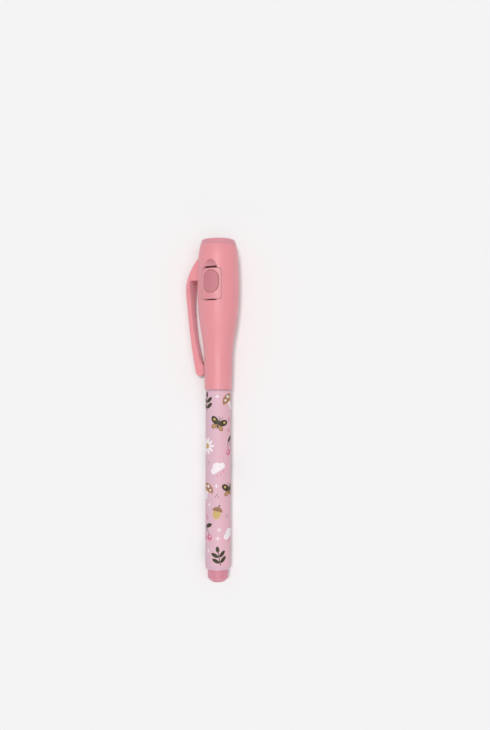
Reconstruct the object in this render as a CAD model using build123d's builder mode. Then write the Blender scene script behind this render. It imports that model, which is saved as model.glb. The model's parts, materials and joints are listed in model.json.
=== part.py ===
from build123d import *
import os
from math import asin, atan2, degrees, hypot, sin, sqrt

# Invisible-ink pen: a fibre-tip pen in a printed barrel, with a clip cap that is also a small UV lamp.
# Sizes are in millimetres. The pen is drawn upright on its axis, Z, its tail at Z = 0 and the lamp on top.
# The button faces -Y and the clip is on the -X side. Last, the pieces are laid down as on a desk.

# Fits
push_gap = 0.03  # radial room of a piece that is pushed home for good
slide_gap = 0.08  # room of a piece that slides
seat_gap = 0.05  # room under a piece that lifts off its seat
touch_gap = 0.02  # room between pieces that only touch

# Tail plug
plug_head_length = 5.4
plug_step = 0.9  # from the barrel's outside in to the plug's head
plug_end_chamfer = 1.5
plug_end_round = 0.5
plug_spigot_length = 9.0
plug_spigot_chamfer = 0.5
plug_floor = 1.6  # thickness of the cup's floor, past the barrel's end

# Barrel and its printed sleeve
barrel_length = 74.0
barrel_radius = 5.2
barrel_wall = 1.15
barrel_edge_round = 0.25
rib_count = 6
rib_width = 0.8
rib_end_room = 1.5
sleeve_thickness = 0.06
sleeve_tail_margin = 1.0
sleeve_cap_margin = 0.4

# Ink
reservoir_radius = 3.1
reservoir_end_room = 0.4
wrap_thickness = 0.12
wrap_margin = 0.8
nib_radius = 0.9
nib_reach = 3.0  # how far the point stands out of the cone
nib_point_length = 1.9
nib_point_taper = 14.0
nib_point_round = 0.35
nib_tail_length = 5.0  # how far the nib goes into the reservoir

# Grip section, the pen's front end
section_spigot_length = 10.0
collar_step = 0.6  # from the barrel's outside in to the collar
collar_bead_height = 0.04
collar_bead_radius = 0.6
collar_bead_drop = 3.0
cone_shoulder_length = 1.2
cone_base_radius = 3.3
cone_tip_radius = 1.45
cone_length = 12.0
section_nose_wall = 2.0  # plastic between the ink chamber and the cone's base

# Cap outline; rises are measured up from its mouth and drops down from its lamp end
cap_seat_gap = 0.1
cap_length = 62.8
cap_lip = 1.02  # wall at the mouth
neck_swell = 0.2  # how far the neck stands out past the mouth
neck_rise = 11.4
belly_radius = 8.8
belly_drop = 20.0
belly_curve_radius = 105.0
shoulder_radius = 8.35
shoulder_drop = 6.8
nose_seam_radius = 7.63
nose_height = 2.2
nose_face_radius = 6.9
nose_edge_round = 0.6
seam_groove = 0.15
mouth_edge_round = 0.25
partition = 1.6  # wall between the pen's bay and the lamp's bay

# Inner cap, which keeps the nib from drying
inner_cap_wall = 0.6
inner_cap_floor = 1.0
inner_cap_room = 0.5  # air round the cone and the nib

# Clip, moulded with the cap
clip_reach = 13.55
clip_top_drop = 25.0
clip_tip_reach = 9.9
clip_tip_rise = 7.4
clip_bow = 0.45
clip_thickness = 2.1
clip_head_drop = 7.3  # where the root's back ends, inside the cap's wall
clip_head_sink = 1.15  # how deep it ends there
clip_root_drop = 17.0  # underside of the root
clip_root_width = 8.3
clip_flare_drop = 19.0  # where the arm is as wide as its root
clip_flare_round = 6.0
clip_waist_drop = 29.0  # where the arm starts to flare
clip_waist_width = 4.6
clip_tip_width = 2.4
clip_foot_gap = 0.1
clip_foot_rise = 10.1
clip_foot_length = 3.0
clip_edge_round = 0.5
clip_root_round = 1.0
clip_foot_round = 0.7

# Lamp
led_radius = 2.5
led_flange_radius = 2.9
led_flange_height = 1.0
led_length = 8.6
led_recess = 3.1
led_frame_rise = 3.6  # how far the lead frame stands up inside the lens
led_frame_width = 1.5
led_post_width = 0.8
lead_size = 0.5
lead_pitch = 2.54
lamp_mouth_radius = 4.9
nose_flange_gap = 0.1

# Cells and their cradle
cell_count = 3
cell_radius = 3.95
cell_height = 3.6
cell_lid_radius = 3.1
cell_lid_height = 0.55
cell_edge_round = 0.3
cell_room = 0.1
cradle_wall = 2.05
cradle_end_wall = 1.6
cradle_floor = 4.7  # plastic under the spring
cradle_rim_room = 1.36  # from the button's flange down to the cradle's sides
spring_height = 2.4
spring_thickness = 0.25
spring_width = 4.2
spring_span = 6.4

# Switch leaf
leaf_thickness = 0.2
leaf_width = 2.6
leaf_root_fall = 0.2  # from the leaf's crown down to its root
leaf_tip_fall = 0.3  # from the leaf's crown down to its free end
leaf_tip_drop = 5.2  # from the button's middle to the leaf's free end
leaf_bend = 0.5
leaf_room = 0.3

# Battery door
door_width = 9.0
door_length = 12.55
door_corner = 1.3
door_edge_thickness = 0.9
door_swing_gap = 0.28  # room at the door's top end for its swing
door_end_lean = 0.2  # how far the top end leans out into that room, towards the outside
door_ledge = 0.45
hinge_round = 0.3  # lower edge, which the door tips out on
slit_width = 5.6
top_slit = 1.1
bottom_slit = 0.6
tongue_length = 1.0
tongue_thickness = 0.8
tongue_room = 0.2
scoop_radius = 3.7
scoop_depth = 1.1

# Push button
pad_length = 9.1
pad_width = 6.5
pad_recess = 0.15
pad_edge_round = 0.15
button_shift = 1.0  # from the door's middle towards the lamp
button_flange = 0.45
button_flange_thickness = 0.8
plunger_radius = 1.1
hole_edge_round = 0.35

# Heights of the pen's pieces
barrel_tail_z = plug_head_length
barrel_front_z = barrel_tail_z + barrel_length
plug_top_z = barrel_tail_z + plug_spigot_length
cup_floor_z = barrel_tail_z + plug_floor
section_tail_z = barrel_front_z - section_spigot_length

# Heights of the cap's pieces, down from the lamp end
cap_mouth_z = barrel_front_z + cap_seat_gap
head_z = cap_mouth_z + cap_length
neck_z = cap_mouth_z + neck_rise
belly_z = head_z - belly_drop
shoulder_z = head_z - shoulder_drop
seam_z = head_z - nose_height
led_tip_z = head_z - led_recess
led_rear_z = led_tip_z - led_length
flange_front_z = led_rear_z + led_flange_height
dome_z = led_tip_z - led_radius
trough_top_z = led_rear_z - cradle_end_wall
stack_top_z = trough_top_z - lead_size
stack_bottom_z = stack_top_z - cell_count * cell_height
trough_floor_z = stack_bottom_z - spring_height
lamp_bay_z = trough_floor_z - cradle_floor
inner_cap_top_z = lamp_bay_z - partition
door_z = (stack_top_z + stack_bottom_z) / 2
door_top_z = door_z + door_length / 2
door_bottom_z = door_z - door_length / 2
button_z = door_z + button_shift

# Heights of the pen's front end, which fills the bay that the lamp leaves
nib_tip_z = inner_cap_top_z - inner_cap_floor - inner_cap_room
cone_tip_z = nib_tip_z - nib_reach
cone_base_z = cone_tip_z - cone_length
collar_top_z = cone_base_z - cone_shoulder_length
chamber_top_z = cone_base_z - section_nose_wall
reservoir_tail_z = cup_floor_z + reservoir_end_room
reservoir_front_z = chamber_top_z - reservoir_end_room

# Radii of the pen's pieces
plug_head_radius = barrel_radius - plug_step
collar_radius = barrel_radius - collar_step
barrel_bore = barrel_radius - barrel_wall
spigot_radius = barrel_bore - push_gap
sleeve_bore = barrel_radius + touch_gap
sleeve_radius = sleeve_bore + sleeve_thickness
wrap_bore = reservoir_radius + touch_gap
wrap_radius = wrap_bore + wrap_thickness
chamber_radius = wrap_radius + slide_gap
nib_bore = nib_radius + touch_gap

# Radii of the cap's pieces and heights above the axis on the button's side
cap_bore = collar_radius + slide_gap
mouth_radius = cap_bore + cap_lip
neck_radius = mouth_radius + neck_swell
inner_cap_radius = cap_bore - push_gap
cradle_radius = cell_radius + cell_room + cradle_wall
lamp_bore = cradle_radius + push_gap
nose_spigot_radius = lamp_bore - push_gap
trough_radius = cell_radius + cell_room
door_seat = sqrt(belly_radius**2 - (door_width / 2) ** 2) - door_edge_thickness
door_underside = door_seat + seat_gap
flange_top = door_underside - seat_gap
flange_underside = flange_top - button_flange_thickness
cradle_rim_height = flange_underside - cradle_rim_room
leaf_crown_height = (cell_radius + flange_underside) / 2
leaf_root_height = leaf_crown_height - leaf_root_fall
leaf_tip_height = leaf_crown_height - leaf_tip_fall
plunger_end = leaf_crown_height + leaf_thickness / 2 + touch_gap
outside = belly_radius + clip_reach  # clear of everything on that side


def cap_form(inset):
    """Solid inside the cap's outline, with every radius smaller by the inset."""
    swell = 2 * atan2(belly_radius - neck_radius, belly_z - neck_z)
    neck_curve_radius = (belly_z - neck_z) / sin(swell) - belly_curve_radius
    with BuildPart() as form:
        with BuildSketch(Plane.XZ):
            with BuildLine():
                mouth = Line((0, cap_mouth_z), (mouth_radius - inset, cap_mouth_z))
                skirt = Line(mouth @ 1, (neck_radius - inset, neck_z))
                hollow = JernArc(skirt @ 1, (0, 1), neck_curve_radius, -degrees(swell))
                bulge = JernArc(hollow @ 1, hollow % 1, belly_curve_radius, degrees(swell))
                upper = TangentArc(bulge @ 1, (shoulder_radius - inset, shoulder_z), tangent=(0, 1))
                brow = TangentArc(upper @ 1, (nose_seam_radius - inset, seam_z), tangent=upper % 1)
                Polyline(brow @ 1, (0, seam_z), mouth @ 0)
            make_face()
        revolve(axis=Axis.Z)
    return form.part


def inside(edge, half_width, half_height, middle_z):
    """Whether an edge's middle lies within a rectangle on the button's side of the cap."""
    middle = edge.center()
    return abs(middle.X) < half_width and abs(middle.Z - middle_z) < half_height


# Barrel: a tube with ribs that hold the ink reservoir
rib_inner = wrap_radius + slide_gap
rib_outer = barrel_bore + barrel_wall / 4
with BuildPart() as barrel:
    with BuildSketch(Plane.XY.offset(barrel_tail_z)):
        Circle(barrel_radius)
        Circle(barrel_bore, mode=Mode.SUBTRACT)
    extrude(amount=barrel_length)
    fillet(barrel.edges().group_by(Axis.Z)[0].sort_by(SortBy.RADIUS)[-1], barrel_edge_round)
    with BuildSketch(Plane.XY.offset(plug_top_z + rib_end_room)):
        with PolarLocations((rib_inner + rib_outer) / 2, rib_count):
            Rectangle(rib_outer - rib_inner, rib_width)
    extrude(amount=section_tail_z - plug_top_z - 2 * rib_end_room)

# Printed sleeve, a thin film shrunk on the barrel
with BuildPart() as print_sleeve:
    with BuildSketch(Plane.XY.offset(barrel_tail_z + sleeve_tail_margin)):
        Circle(sleeve_radius)
        Circle(sleeve_bore, mode=Mode.SUBTRACT)
    extrude(amount=barrel_length - sleeve_tail_margin - sleeve_cap_margin)

# Tail plug: a head and a cup that takes the reservoir's end
with BuildPart() as tail_plug:
    with BuildSketch(Plane.XZ):
        with BuildLine():
            Polyline(
                (0, 0),
                (plug_head_radius, 0),
                (plug_head_radius, barrel_tail_z),
                (spigot_radius, barrel_tail_z),
                (spigot_radius, plug_top_z),
                (chamber_radius, plug_top_z),
                (chamber_radius, cup_floor_z),
                (0, cup_floor_z),
                close=True,
            )
        make_face()
    revolve(axis=Axis.Z)
    chamfer(tail_plug.edges().group_by(Axis.Z)[0], plug_end_chamfer)
    fillet(tail_plug.edges().group_by(Axis.Z)[:2], plug_end_round)
    chamfer(tail_plug.edges().group_by(Axis.Z)[-1].sort_by(SortBy.RADIUS)[-1], plug_spigot_chamfer)

# Grip section: spigot in the barrel, collar that the cap slides on, and the cone round the nib
bead_centre = collar_radius + collar_bead_height - collar_bead_radius
with BuildPart() as grip_section:
    with BuildSketch(Plane.XZ):
        with BuildLine():
            Polyline(
                (chamber_radius, section_tail_z),
                (spigot_radius, section_tail_z),
                (spigot_radius, barrel_front_z),
                (collar_radius, barrel_front_z),
                (collar_radius, collar_top_z),
                (cone_base_radius, cone_base_z),
                (cone_tip_radius, cone_tip_z),
                (nib_bore, cone_tip_z),
                (nib_bore, chamber_top_z),
                (chamber_radius, chamber_top_z),
                close=True,
            )
        make_face()
    revolve(axis=Axis.Z)
    with BuildSketch(Plane.XZ):
        with Locations((bead_centre, collar_top_z - collar_bead_drop)):
            Circle(collar_bead_radius)
    revolve(axis=Axis.Z)

# Fibre nib with a rounded point
with BuildPart() as nib:
    with BuildSketch(Plane.XY.offset(reservoir_front_z - nib_tail_length)):
        Circle(nib_radius)
    extrude(amount=nib_tip_z - nib_point_length - reservoir_front_z + nib_tail_length)
    with BuildSketch(Plane.XY.offset(nib_tip_z - nib_point_length)):
        Circle(nib_radius)
    extrude(amount=nib_point_length, taper=nib_point_taper)
    fillet(nib.edges().group_by(Axis.Z)[-1], nib_point_round)

# Ink reservoir, a fibre rod with a hole for the nib's tail
with BuildPart() as ink_reservoir:
    with BuildSketch(Plane.XY.offset(reservoir_tail_z)):
        Circle(reservoir_radius)
    extrude(amount=reservoir_front_z - reservoir_tail_z)
    with BuildSketch(Plane.XY.offset(reservoir_front_z)):
        Circle(nib_bore)
    extrude(amount=-nib_tail_length - touch_gap, mode=Mode.SUBTRACT)

# Film wrap round the reservoir
with BuildPart() as reservoir_wrap:
    with BuildSketch(Plane.XY.offset(reservoir_tail_z + wrap_margin)):
        Circle(wrap_radius)
        Circle(wrap_bore, mode=Mode.SUBTRACT)
    extrude(amount=reservoir_front_z - reservoir_tail_z - 2 * wrap_margin)

# Inner cap: a cup round the cone and the nib
with BuildPart() as inner_cap:
    with BuildSketch(Plane.XZ):
        with BuildLine():
            Polyline(
                (0, inner_cap_top_z),
                (inner_cap_radius, inner_cap_top_z),
                (inner_cap_radius, cone_base_z),
                (inner_cap_radius - inner_cap_wall, cone_base_z),
                (cone_tip_radius + inner_cap_room, cone_tip_z),
                (cone_tip_radius + inner_cap_room, inner_cap_top_z - inner_cap_floor),
                (0, inner_cap_top_z - inner_cap_floor),
                close=True,
            )
        make_face()
    revolve(axis=Axis.Z)

# Clip: the side view, cut to its tapered front view
clip_top_z = head_z - clip_top_drop
clip_tip_z = cap_mouth_z + clip_tip_rise
arm_middle_z = (clip_top_z + clip_tip_z) / 2
arm_middle_reach = (clip_reach + clip_tip_reach) / 2 + clip_bow
foot_reach = neck_radius + clip_foot_gap
foot_z = cap_mouth_z + clip_foot_rise
clip_end_z = clip_tip_z - clip_tip_reach + foot_reach
root_z = head_z - clip_root_drop
flare_z = head_z - clip_flare_drop
root_back = (clip_head_sink - shoulder_radius, head_z - clip_head_drop)
with BuildPart() as clip:
    with BuildSketch(Plane.XZ) as clip_side:
        with BuildLine():
            arm = ThreePointArc(
                (-clip_tip_reach, clip_tip_z),
                (-arm_middle_reach, arm_middle_z),
                (-clip_reach, clip_top_z),
            )
            root = TangentArc(arm @ 1, root_back, tangent=arm % 1)
            Polyline(root @ 1, ((root @ 1).X, root_z), (clip_thickness - clip_reach, root_z))
            under = ThreePointArc(
                (clip_thickness - clip_reach, root_z),
                (clip_thickness - arm_middle_reach, arm_middle_z),
                (clip_thickness - clip_tip_reach, foot_z + clip_thickness),
            )
            foot = Polyline(under @ 1, (-foot_reach, foot_z), (-foot_reach, foot_z - clip_foot_length))
            TangentArc(arm @ 0, foot @ 1, tangent=(arm % 0) * -1)
        make_face()
        foot_corners = clip_side.vertices().filter_by_position(Axis.Y, foot_z, foot_z + clip_thickness)
        fillet(foot_corners, clip_foot_round)
        fillet(clip_side.vertices().group_by(Axis.Y)[-2].sort_by(Axis.X)[0], clip_root_round)
    extrude(amount=clip_root_width / 2, both=True)
    with BuildSketch(Plane.YZ) as clip_front:
        with BuildLine():
            side = Line((clip_tip_width / 2, clip_end_z), (clip_waist_width / 2, head_z - clip_waist_drop))
            flare = TangentArc(side @ 1, (clip_root_width / 2, flare_z), tangent=side % 1)
            Polyline(flare @ 1, (clip_root_width / 2, head_z), (0, head_z), (0, clip_end_z), side @ 0)
        make_face()
        fillet(clip_front.vertices().group_by(Axis.X)[-1].sort_by(Axis.Y)[0], clip_flare_round)
        mirror(about=Plane.YZ)
    extrude(amount=-outside, mode=Mode.INTERSECT)
    fillet(clip.edges().sort_by(SortBy.LENGTH)[-2:], clip_edge_round)

# Nail scoop above the door: a shallow dish in the cap's face, deepest at the slit
scoop_ball = (scoop_radius**2 + scoop_depth**2) / (2 * scoop_depth)
with BuildPart() as nail_scoop:
    with Locations((0, scoop_depth - belly_radius - scoop_ball, door_top_z + top_slit / 2)):
        Sphere(scoop_ball)
    split(bisect_by=Plane.XY.offset(door_top_z), keep=Keep.TOP)

# Cap shell with its clip, its two bays and the window for the battery door
with BuildPart() as cap_shell:
    add(cap_form(0))
    add(clip.part)
    with BuildSketch(Plane.XY.offset(cap_mouth_z)):
        Circle(cap_bore)
    extrude(amount=inner_cap_top_z - cap_mouth_z, mode=Mode.SUBTRACT)
    fillet(cap_shell.edges().group_by(Axis.Z)[0], mouth_edge_round)
    with BuildSketch(Plane.XY.offset(lamp_bay_z)):
        Circle(lamp_bore)
    extrude(amount=head_z - lamp_bay_z, mode=Mode.SUBTRACT)
    with BuildSketch(Plane.XZ.offset(door_seat)):
        with Locations((0, door_bottom_z - slide_gap)):
            RectangleRounded(
                door_width + 2 * slide_gap,
                door_length + slide_gap + door_swing_gap,
                door_corner,
                align=(Align.CENTER, Align.MIN),
            )
    extrude(amount=outside, mode=Mode.SUBTRACT)
    with BuildSketch(Plane.XZ):
        with Locations((0, door_bottom_z - slide_gap)):
            Rectangle(
                door_width - 2 * door_ledge,
                door_length + slide_gap + door_swing_gap,
                align=(Align.CENTER, Align.MIN),
            )
        with Locations((0, door_bottom_z)):
            Rectangle(
                slit_width + 2 * tongue_room,
                tongue_length + tongue_room,
                align=(Align.CENTER, Align.MAX),
            )
    extrude(amount=door_underside + tongue_thickness + tongue_room, mode=Mode.SUBTRACT)
    with BuildSketch(Plane.XZ):
        with Locations((0, door_top_z)):
            Rectangle(slit_width, top_slit, align=(Align.CENTER, Align.MIN))
        with Locations((0, door_bottom_z)):
            Rectangle(slit_width, bottom_slit, align=(Align.CENTER, Align.MAX))
    extrude(amount=outside, mode=Mode.SUBTRACT)
    add(nail_scoop.part, mode=Mode.SUBTRACT)

# Nose ring: closes the lamp's bay, with a cone round the lens
with BuildPart() as nose_ring:
    with BuildSketch(Plane.XZ):
        with BuildLine():
            Polyline(
                (led_radius + slide_gap, flange_front_z + nose_flange_gap),
                (nose_spigot_radius, flange_front_z + nose_flange_gap),
                (nose_spigot_radius, seam_z),
                (nose_seam_radius, seam_z),
                (nose_face_radius, head_z),
                (lamp_mouth_radius, head_z),
                (led_radius + slide_gap, dome_z),
                close=True,
            )
        make_face()
    revolve(axis=Axis.Z)
    fillet(nose_ring.edges().group_by(Axis.Z)[-1].sort_by(SortBy.RADIUS)[-1], nose_edge_round)
    chamfer(nose_ring.edges().filter_by(GeomType.CIRCLE).sort_by(SortBy.RADIUS)[-1], seam_groove)

# LED leads: the cathode's foot lies on the top cell's lid, the anode's end meets the switch leaf
lead_offset = lead_pitch / 2
frame_top_z = led_rear_z + led_flange_height + led_frame_rise
with BuildPart() as led_cathode_lead:
    with BuildSketch(Plane.YZ):
        with Locations((lead_offset, stack_top_z)):
            Rectangle(lead_size, frame_top_z - stack_top_z, align=(Align.CENTER, Align.MIN))
        with Locations((lead_offset + lead_size / 2, frame_top_z)):
            Rectangle(led_frame_width, led_frame_width / 2, align=(Align.MAX, Align.MAX))
        with Locations((lead_offset, stack_top_z)):
            Rectangle(cell_lid_radius - lead_offset, lead_size, align=(Align.MIN, Align.MIN))
    extrude(amount=lead_size / 2, both=True)
with BuildPart() as led_anode_lead:
    with BuildSketch(Plane.YZ):
        with Locations((-lead_offset, trough_top_z)):
            Rectangle(lead_size, frame_top_z - trough_top_z, align=(Align.CENTER, Align.MIN))
        with Locations((-lead_offset - lead_size / 2, frame_top_z)):
            Rectangle(led_post_width, lead_size, align=(Align.MIN, Align.MAX))
    extrude(amount=lead_size / 2, both=True)

# LED lens, cast round its lead frame
with BuildPart() as uv_led:
    with BuildSketch(Plane.XZ):
        with BuildLine():
            Polyline(
                (0, led_tip_z),
                (0, led_rear_z),
                (led_flange_radius, led_rear_z),
                (led_flange_radius, flange_front_z),
                (led_radius, flange_front_z),
                (led_radius, dome_z),
            )
            RadiusArc((led_radius, dome_z), (0, led_tip_z), -led_radius)
        make_face()
    revolve(axis=Axis.Z)
    add(led_cathode_lead.part, mode=Mode.SUBTRACT)
    add(led_anode_lead.part, mode=Mode.SUBTRACT)

# Cell cradle: a trough for the cells, open towards the door, with holes for the leads and the leaf
with BuildPart() as cell_cradle:
    with BuildSketch(Plane.XY.offset(lamp_bay_z)):
        Circle(cradle_radius)
    extrude(amount=led_rear_z - lamp_bay_z)
    with BuildSketch(Plane.XY.offset(trough_floor_z)):
        Circle(trough_radius)
        Rectangle(2 * trough_radius, cradle_radius, align=(Align.CENTER, Align.MAX))
    extrude(amount=trough_top_z - trough_floor_z, mode=Mode.SUBTRACT)
    with BuildSketch(Plane.XZ.offset(cradle_rim_height)):
        with Locations((0, door_bottom_z - tongue_length - tongue_room)):
            Rectangle(
                2 * cradle_radius,
                trough_top_z - door_bottom_z + tongue_length + tongue_room,
                align=(Align.CENTER, Align.MIN),
            )
    extrude(amount=cradle_radius, mode=Mode.SUBTRACT)
    with BuildSketch(Plane.XY.offset(trough_top_z)):
        with Locations((0, lead_offset), (0, -lead_offset)):
            Rectangle(lead_size + 2 * slide_gap, lead_size + 2 * slide_gap)
    extrude(amount=cradle_end_wall, mode=Mode.SUBTRACT)
    with BuildSketch(Plane.XY.offset(trough_top_z)):
        with Locations((0, -lead_offset + lead_size)):
            Rectangle(leaf_width + 2 * leaf_room, cradle_radius, align=(Align.CENTER, Align.MAX))
    extrude(amount=leaf_thickness + 2 * leaf_room, mode=Mode.SUBTRACT)


def button_cell(base_z):
    """One cell: a can with rounded edges and the smaller lid on top."""
    can_top_z = base_z + cell_height - cell_lid_height
    with BuildPart() as cell:
        with BuildSketch(Plane.XY.offset(base_z)):
            Circle(cell_radius)
        extrude(amount=cell_height - cell_lid_height)
        fillet(cell.edges(), cell_edge_round)
        with BuildSketch(Plane.XY.offset(can_top_z)):
            Circle(cell_lid_radius)
        extrude(amount=cell_lid_height)
        fillet(cell.edges().group_by(Axis.Z)[-1], cell_edge_round)
    return cell


cells = [button_cell(stack_bottom_z + index * cell_height) for index in range(cell_count)]

# Bowed spring that keeps the stack of cells tight
with BuildPart() as cell_spring:
    with BuildSketch(Plane.YZ):
        with BuildLine():
            outer = ThreePointArc(
                (-spring_span / 2, trough_floor_z + spring_thickness),
                (0, stack_bottom_z - touch_gap),
                (spring_span / 2, trough_floor_z + spring_thickness),
            )
            inner = ThreePointArc(
                (-spring_span / 2, trough_floor_z),
                (0, stack_bottom_z - touch_gap - spring_thickness),
                (spring_span / 2, trough_floor_z),
            )
            Line(outer @ 0, inner @ 0)
            Line(outer @ 1, inner @ 1)
        make_face()
    extrude(amount=spring_width / 2, both=True)

# Switch leaf: a bent strip from the anode's lead, bowed up under the button
leaf_root_z = trough_top_z + leaf_room + leaf_thickness / 2
with BuildPart() as switch_leaf:
    with BuildSketch(Plane.YZ):
        with BuildLine():
            FilletPolyline(
                (-lead_offset - lead_size / 2 - touch_gap, leaf_root_z),
                (-leaf_root_height, leaf_root_z),
                (-leaf_crown_height, button_z),
                (-leaf_tip_height, button_z - leaf_tip_drop),
                radius=leaf_bend,
            )
        trace(line_width=leaf_thickness)
    extrude(amount=leaf_width / 2, both=True)

# Battery door: a slice of the cap's wall with the button's hole and a tongue under the cap's edge
hinge_y = hinge_round - belly_radius
hinge_z = door_bottom_z + hinge_round
with BuildPart() as battery_door:
    with BuildSketch(Plane.XZ.offset(door_underside)):
        with Locations((0, door_bottom_z)):
            RectangleRounded(
                door_width, door_length + door_end_lean, door_corner, align=(Align.CENTER, Align.MIN)
            )
    extrude(amount=outside)
    add(cap_form(0), mode=Mode.INTERSECT)
    with BuildSketch(Plane.YZ):
        with Locations((hinge_y, hinge_z)):
            Rectangle(2 * hinge_round, 2 * hinge_round, align=(Align.MAX, Align.MAX))
            Circle(hinge_round, mode=Mode.SUBTRACT)
        with BuildLine():
            Polyline(
                (-door_underside, door_top_z),
                (-belly_radius, door_top_z + door_end_lean),
                (-door_underside, door_top_z + door_end_lean),
                close=True,
            )
        make_face()
    extrude(amount=door_width / 2, both=True, mode=Mode.SUBTRACT)
    with BuildSketch(Plane.XZ.offset(door_underside)):
        with Locations((0, door_bottom_z)):
            Rectangle(slit_width, 2 * tongue_length)
    extrude(amount=tongue_thickness)
    with BuildSketch(Plane.XZ):
        with Locations((0, button_z)):
            SlotOverall(pad_length + 2 * slide_gap, pad_width + 2 * slide_gap, rotation=90)
    extrude(amount=outside, mode=Mode.SUBTRACT)
    fillet(
        battery_door.edges().filter_by(
            lambda edge: edge.center().Y < -door_underside - tongue_thickness
            and inside(edge, pad_width / 2 + hole_edge_round, pad_length / 2 + hole_edge_round, button_z)
        ),
        hole_edge_round,
    )

# Push button: a pad with a flange under the door and a plunger over the leaf
with BuildPart() as push_button:
    with BuildSketch(Plane.XZ.offset(flange_underside)):
        with Locations((0, button_z)):
            SlotOverall(pad_length, pad_width, rotation=90)
    extrude(amount=outside)
    add(cap_form(pad_recess), mode=Mode.INTERSECT)
    pad_edges = push_button.edges().filter_by(Axis.Y, reverse=True)
    fillet(
        pad_edges.filter_by(
            lambda edge: edge.center().Y < -door_underside and abs(edge.center().Z - belly_z) > slide_gap
        ),
        pad_edge_round,
    )
    with BuildSketch(Plane.XZ.offset(flange_underside)):
        with Locations((0, button_z)):
            SlotOverall(pad_length + 2 * button_flange, pad_width + 2 * button_flange, rotation=90)
    extrude(amount=button_flange_thickness)
    with BuildSketch(Plane.XZ.offset(plunger_end)):
        with Locations((0, button_z)):
            Circle(plunger_radius)
    extrude(amount=flange_underside - plunger_end)

pieces = {
    "barrel": barrel,
    "print_sleeve": print_sleeve,
    "tail_plug": tail_plug,
    "grip_section": grip_section,
    "nib": nib,
    "ink_reservoir": ink_reservoir,
    "reservoir_wrap": reservoir_wrap,
    "inner_cap": inner_cap,
    "cap_shell": cap_shell,
    "nose_ring": nose_ring,
    "uv_led": uv_led,
    "led_cathode_lead": led_cathode_lead,
    "led_anode_lead": led_anode_lead,
    "cell_cradle": cell_cradle,
    "cell_spring": cell_spring,
    "switch_leaf": switch_leaf,
    "battery_door": battery_door,
    "push_button": push_button,
}
for number, cell in enumerate(cells, start=1):
    pieces[f"button_cell_{number}"] = cell

# The pen lies on its belly, the end of its sleeve and the edge of its clip, with its button up
sleeve_tail_z = barrel_tail_z + sleeve_tail_margin
pitch = atan2(belly_radius - sleeve_radius, belly_z - sleeve_tail_z)
clip_corner_reach = sqrt(root.radius**2 - (flare_z - root.arc_center.Y) ** 2) - root.arc_center.X
clip_corner_reach -= clip_edge_round
clip_corner_side = clip_root_width / 2 - clip_edge_round
roll = asin((belly_radius - clip_edge_round) / hypot(clip_corner_reach, clip_corner_side))
roll -= atan2(clip_corner_side, clip_corner_reach)
lying = Rotation(degrees(pitch), 0, 0) * Rotation(0, -degrees(roll), 0) * Rotation(-90, 0, 0)
box = Compound([piece.part.moved(lying) for piece in pieces.values()]).bounding_box()
rest = Pos(-box.center().X, -box.center().Y, -box.min.Z) * lying

os.makedirs("parts", exist_ok=True)
for name, piece in pieces.items():
    piece.part.label = name
    piece.part.move(rest)
    export_step(piece.part, f"parts/{name}.step")
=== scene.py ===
import json
import logging
import math
from collections.abc import Iterable, Mapping, Sequence
from dataclasses import dataclass
from enum import Enum
from typing import Any

import bmesh
import bpy
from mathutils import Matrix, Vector


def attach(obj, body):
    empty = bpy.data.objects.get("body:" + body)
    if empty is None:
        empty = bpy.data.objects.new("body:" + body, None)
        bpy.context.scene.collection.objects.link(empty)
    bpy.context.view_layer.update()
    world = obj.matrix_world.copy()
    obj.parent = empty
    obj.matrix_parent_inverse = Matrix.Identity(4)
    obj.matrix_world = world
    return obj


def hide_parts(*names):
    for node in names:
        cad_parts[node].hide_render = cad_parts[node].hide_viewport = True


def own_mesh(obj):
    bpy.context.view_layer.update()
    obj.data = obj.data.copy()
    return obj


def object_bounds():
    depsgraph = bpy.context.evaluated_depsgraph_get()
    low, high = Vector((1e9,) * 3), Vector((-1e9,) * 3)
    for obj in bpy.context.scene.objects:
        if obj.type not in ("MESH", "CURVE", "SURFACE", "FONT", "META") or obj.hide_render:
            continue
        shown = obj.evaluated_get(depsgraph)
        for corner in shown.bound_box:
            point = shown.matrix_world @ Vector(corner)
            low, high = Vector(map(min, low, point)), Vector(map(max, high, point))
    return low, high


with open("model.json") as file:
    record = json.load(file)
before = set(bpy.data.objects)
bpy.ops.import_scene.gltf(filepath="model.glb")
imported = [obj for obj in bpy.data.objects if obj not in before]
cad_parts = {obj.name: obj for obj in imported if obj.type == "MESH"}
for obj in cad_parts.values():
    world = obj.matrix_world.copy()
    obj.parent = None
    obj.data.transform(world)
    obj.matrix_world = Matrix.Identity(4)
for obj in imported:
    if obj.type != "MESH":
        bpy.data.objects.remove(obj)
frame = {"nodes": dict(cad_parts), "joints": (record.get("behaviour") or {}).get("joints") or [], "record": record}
CAD_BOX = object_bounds()

MM = 0.001
IMAGE_WIDTH = 490
IMAGE_HEIGHT = 730
DISPLAY_STEPS = 255
CAP_BODY = "cap"

Colour = tuple[float, float, float, float]
PLAIN_WHITE: Colour = (1.0, 1.0, 1.0, 1.0)
log = logging.getLogger("pen")


def display(red: int, green: int, blue: int) -> Colour:
    """Gives the linear colour of a display colour.

    Args:
        red: red step, 0 to 255.
        green: green step, 0 to 255.
        blue: blue step, 0 to 255.

    Returns:
        The colour as the shaders take it.
    """
    shares = (step / DISPLAY_STEPS for step in (red, green, blue))
    # The standard display curve: straight near black, a power above it.
    linear = [s / 12.92 if s <= 0.04045 else ((s + 0.055) / 1.055) ** 2.4 for s in shares]
    return (linear[0], linear[1], linear[2], 1.0)


CAP_PINK = display(236, 154, 161)
CAP_PINK_DEEP = display(229, 146, 154)
# Painted highlight colour for the rounded edges of the cap's pink pieces.
CAP_PINK_EDGE_HIGHLIGHT = display(245, 184, 189)


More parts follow.
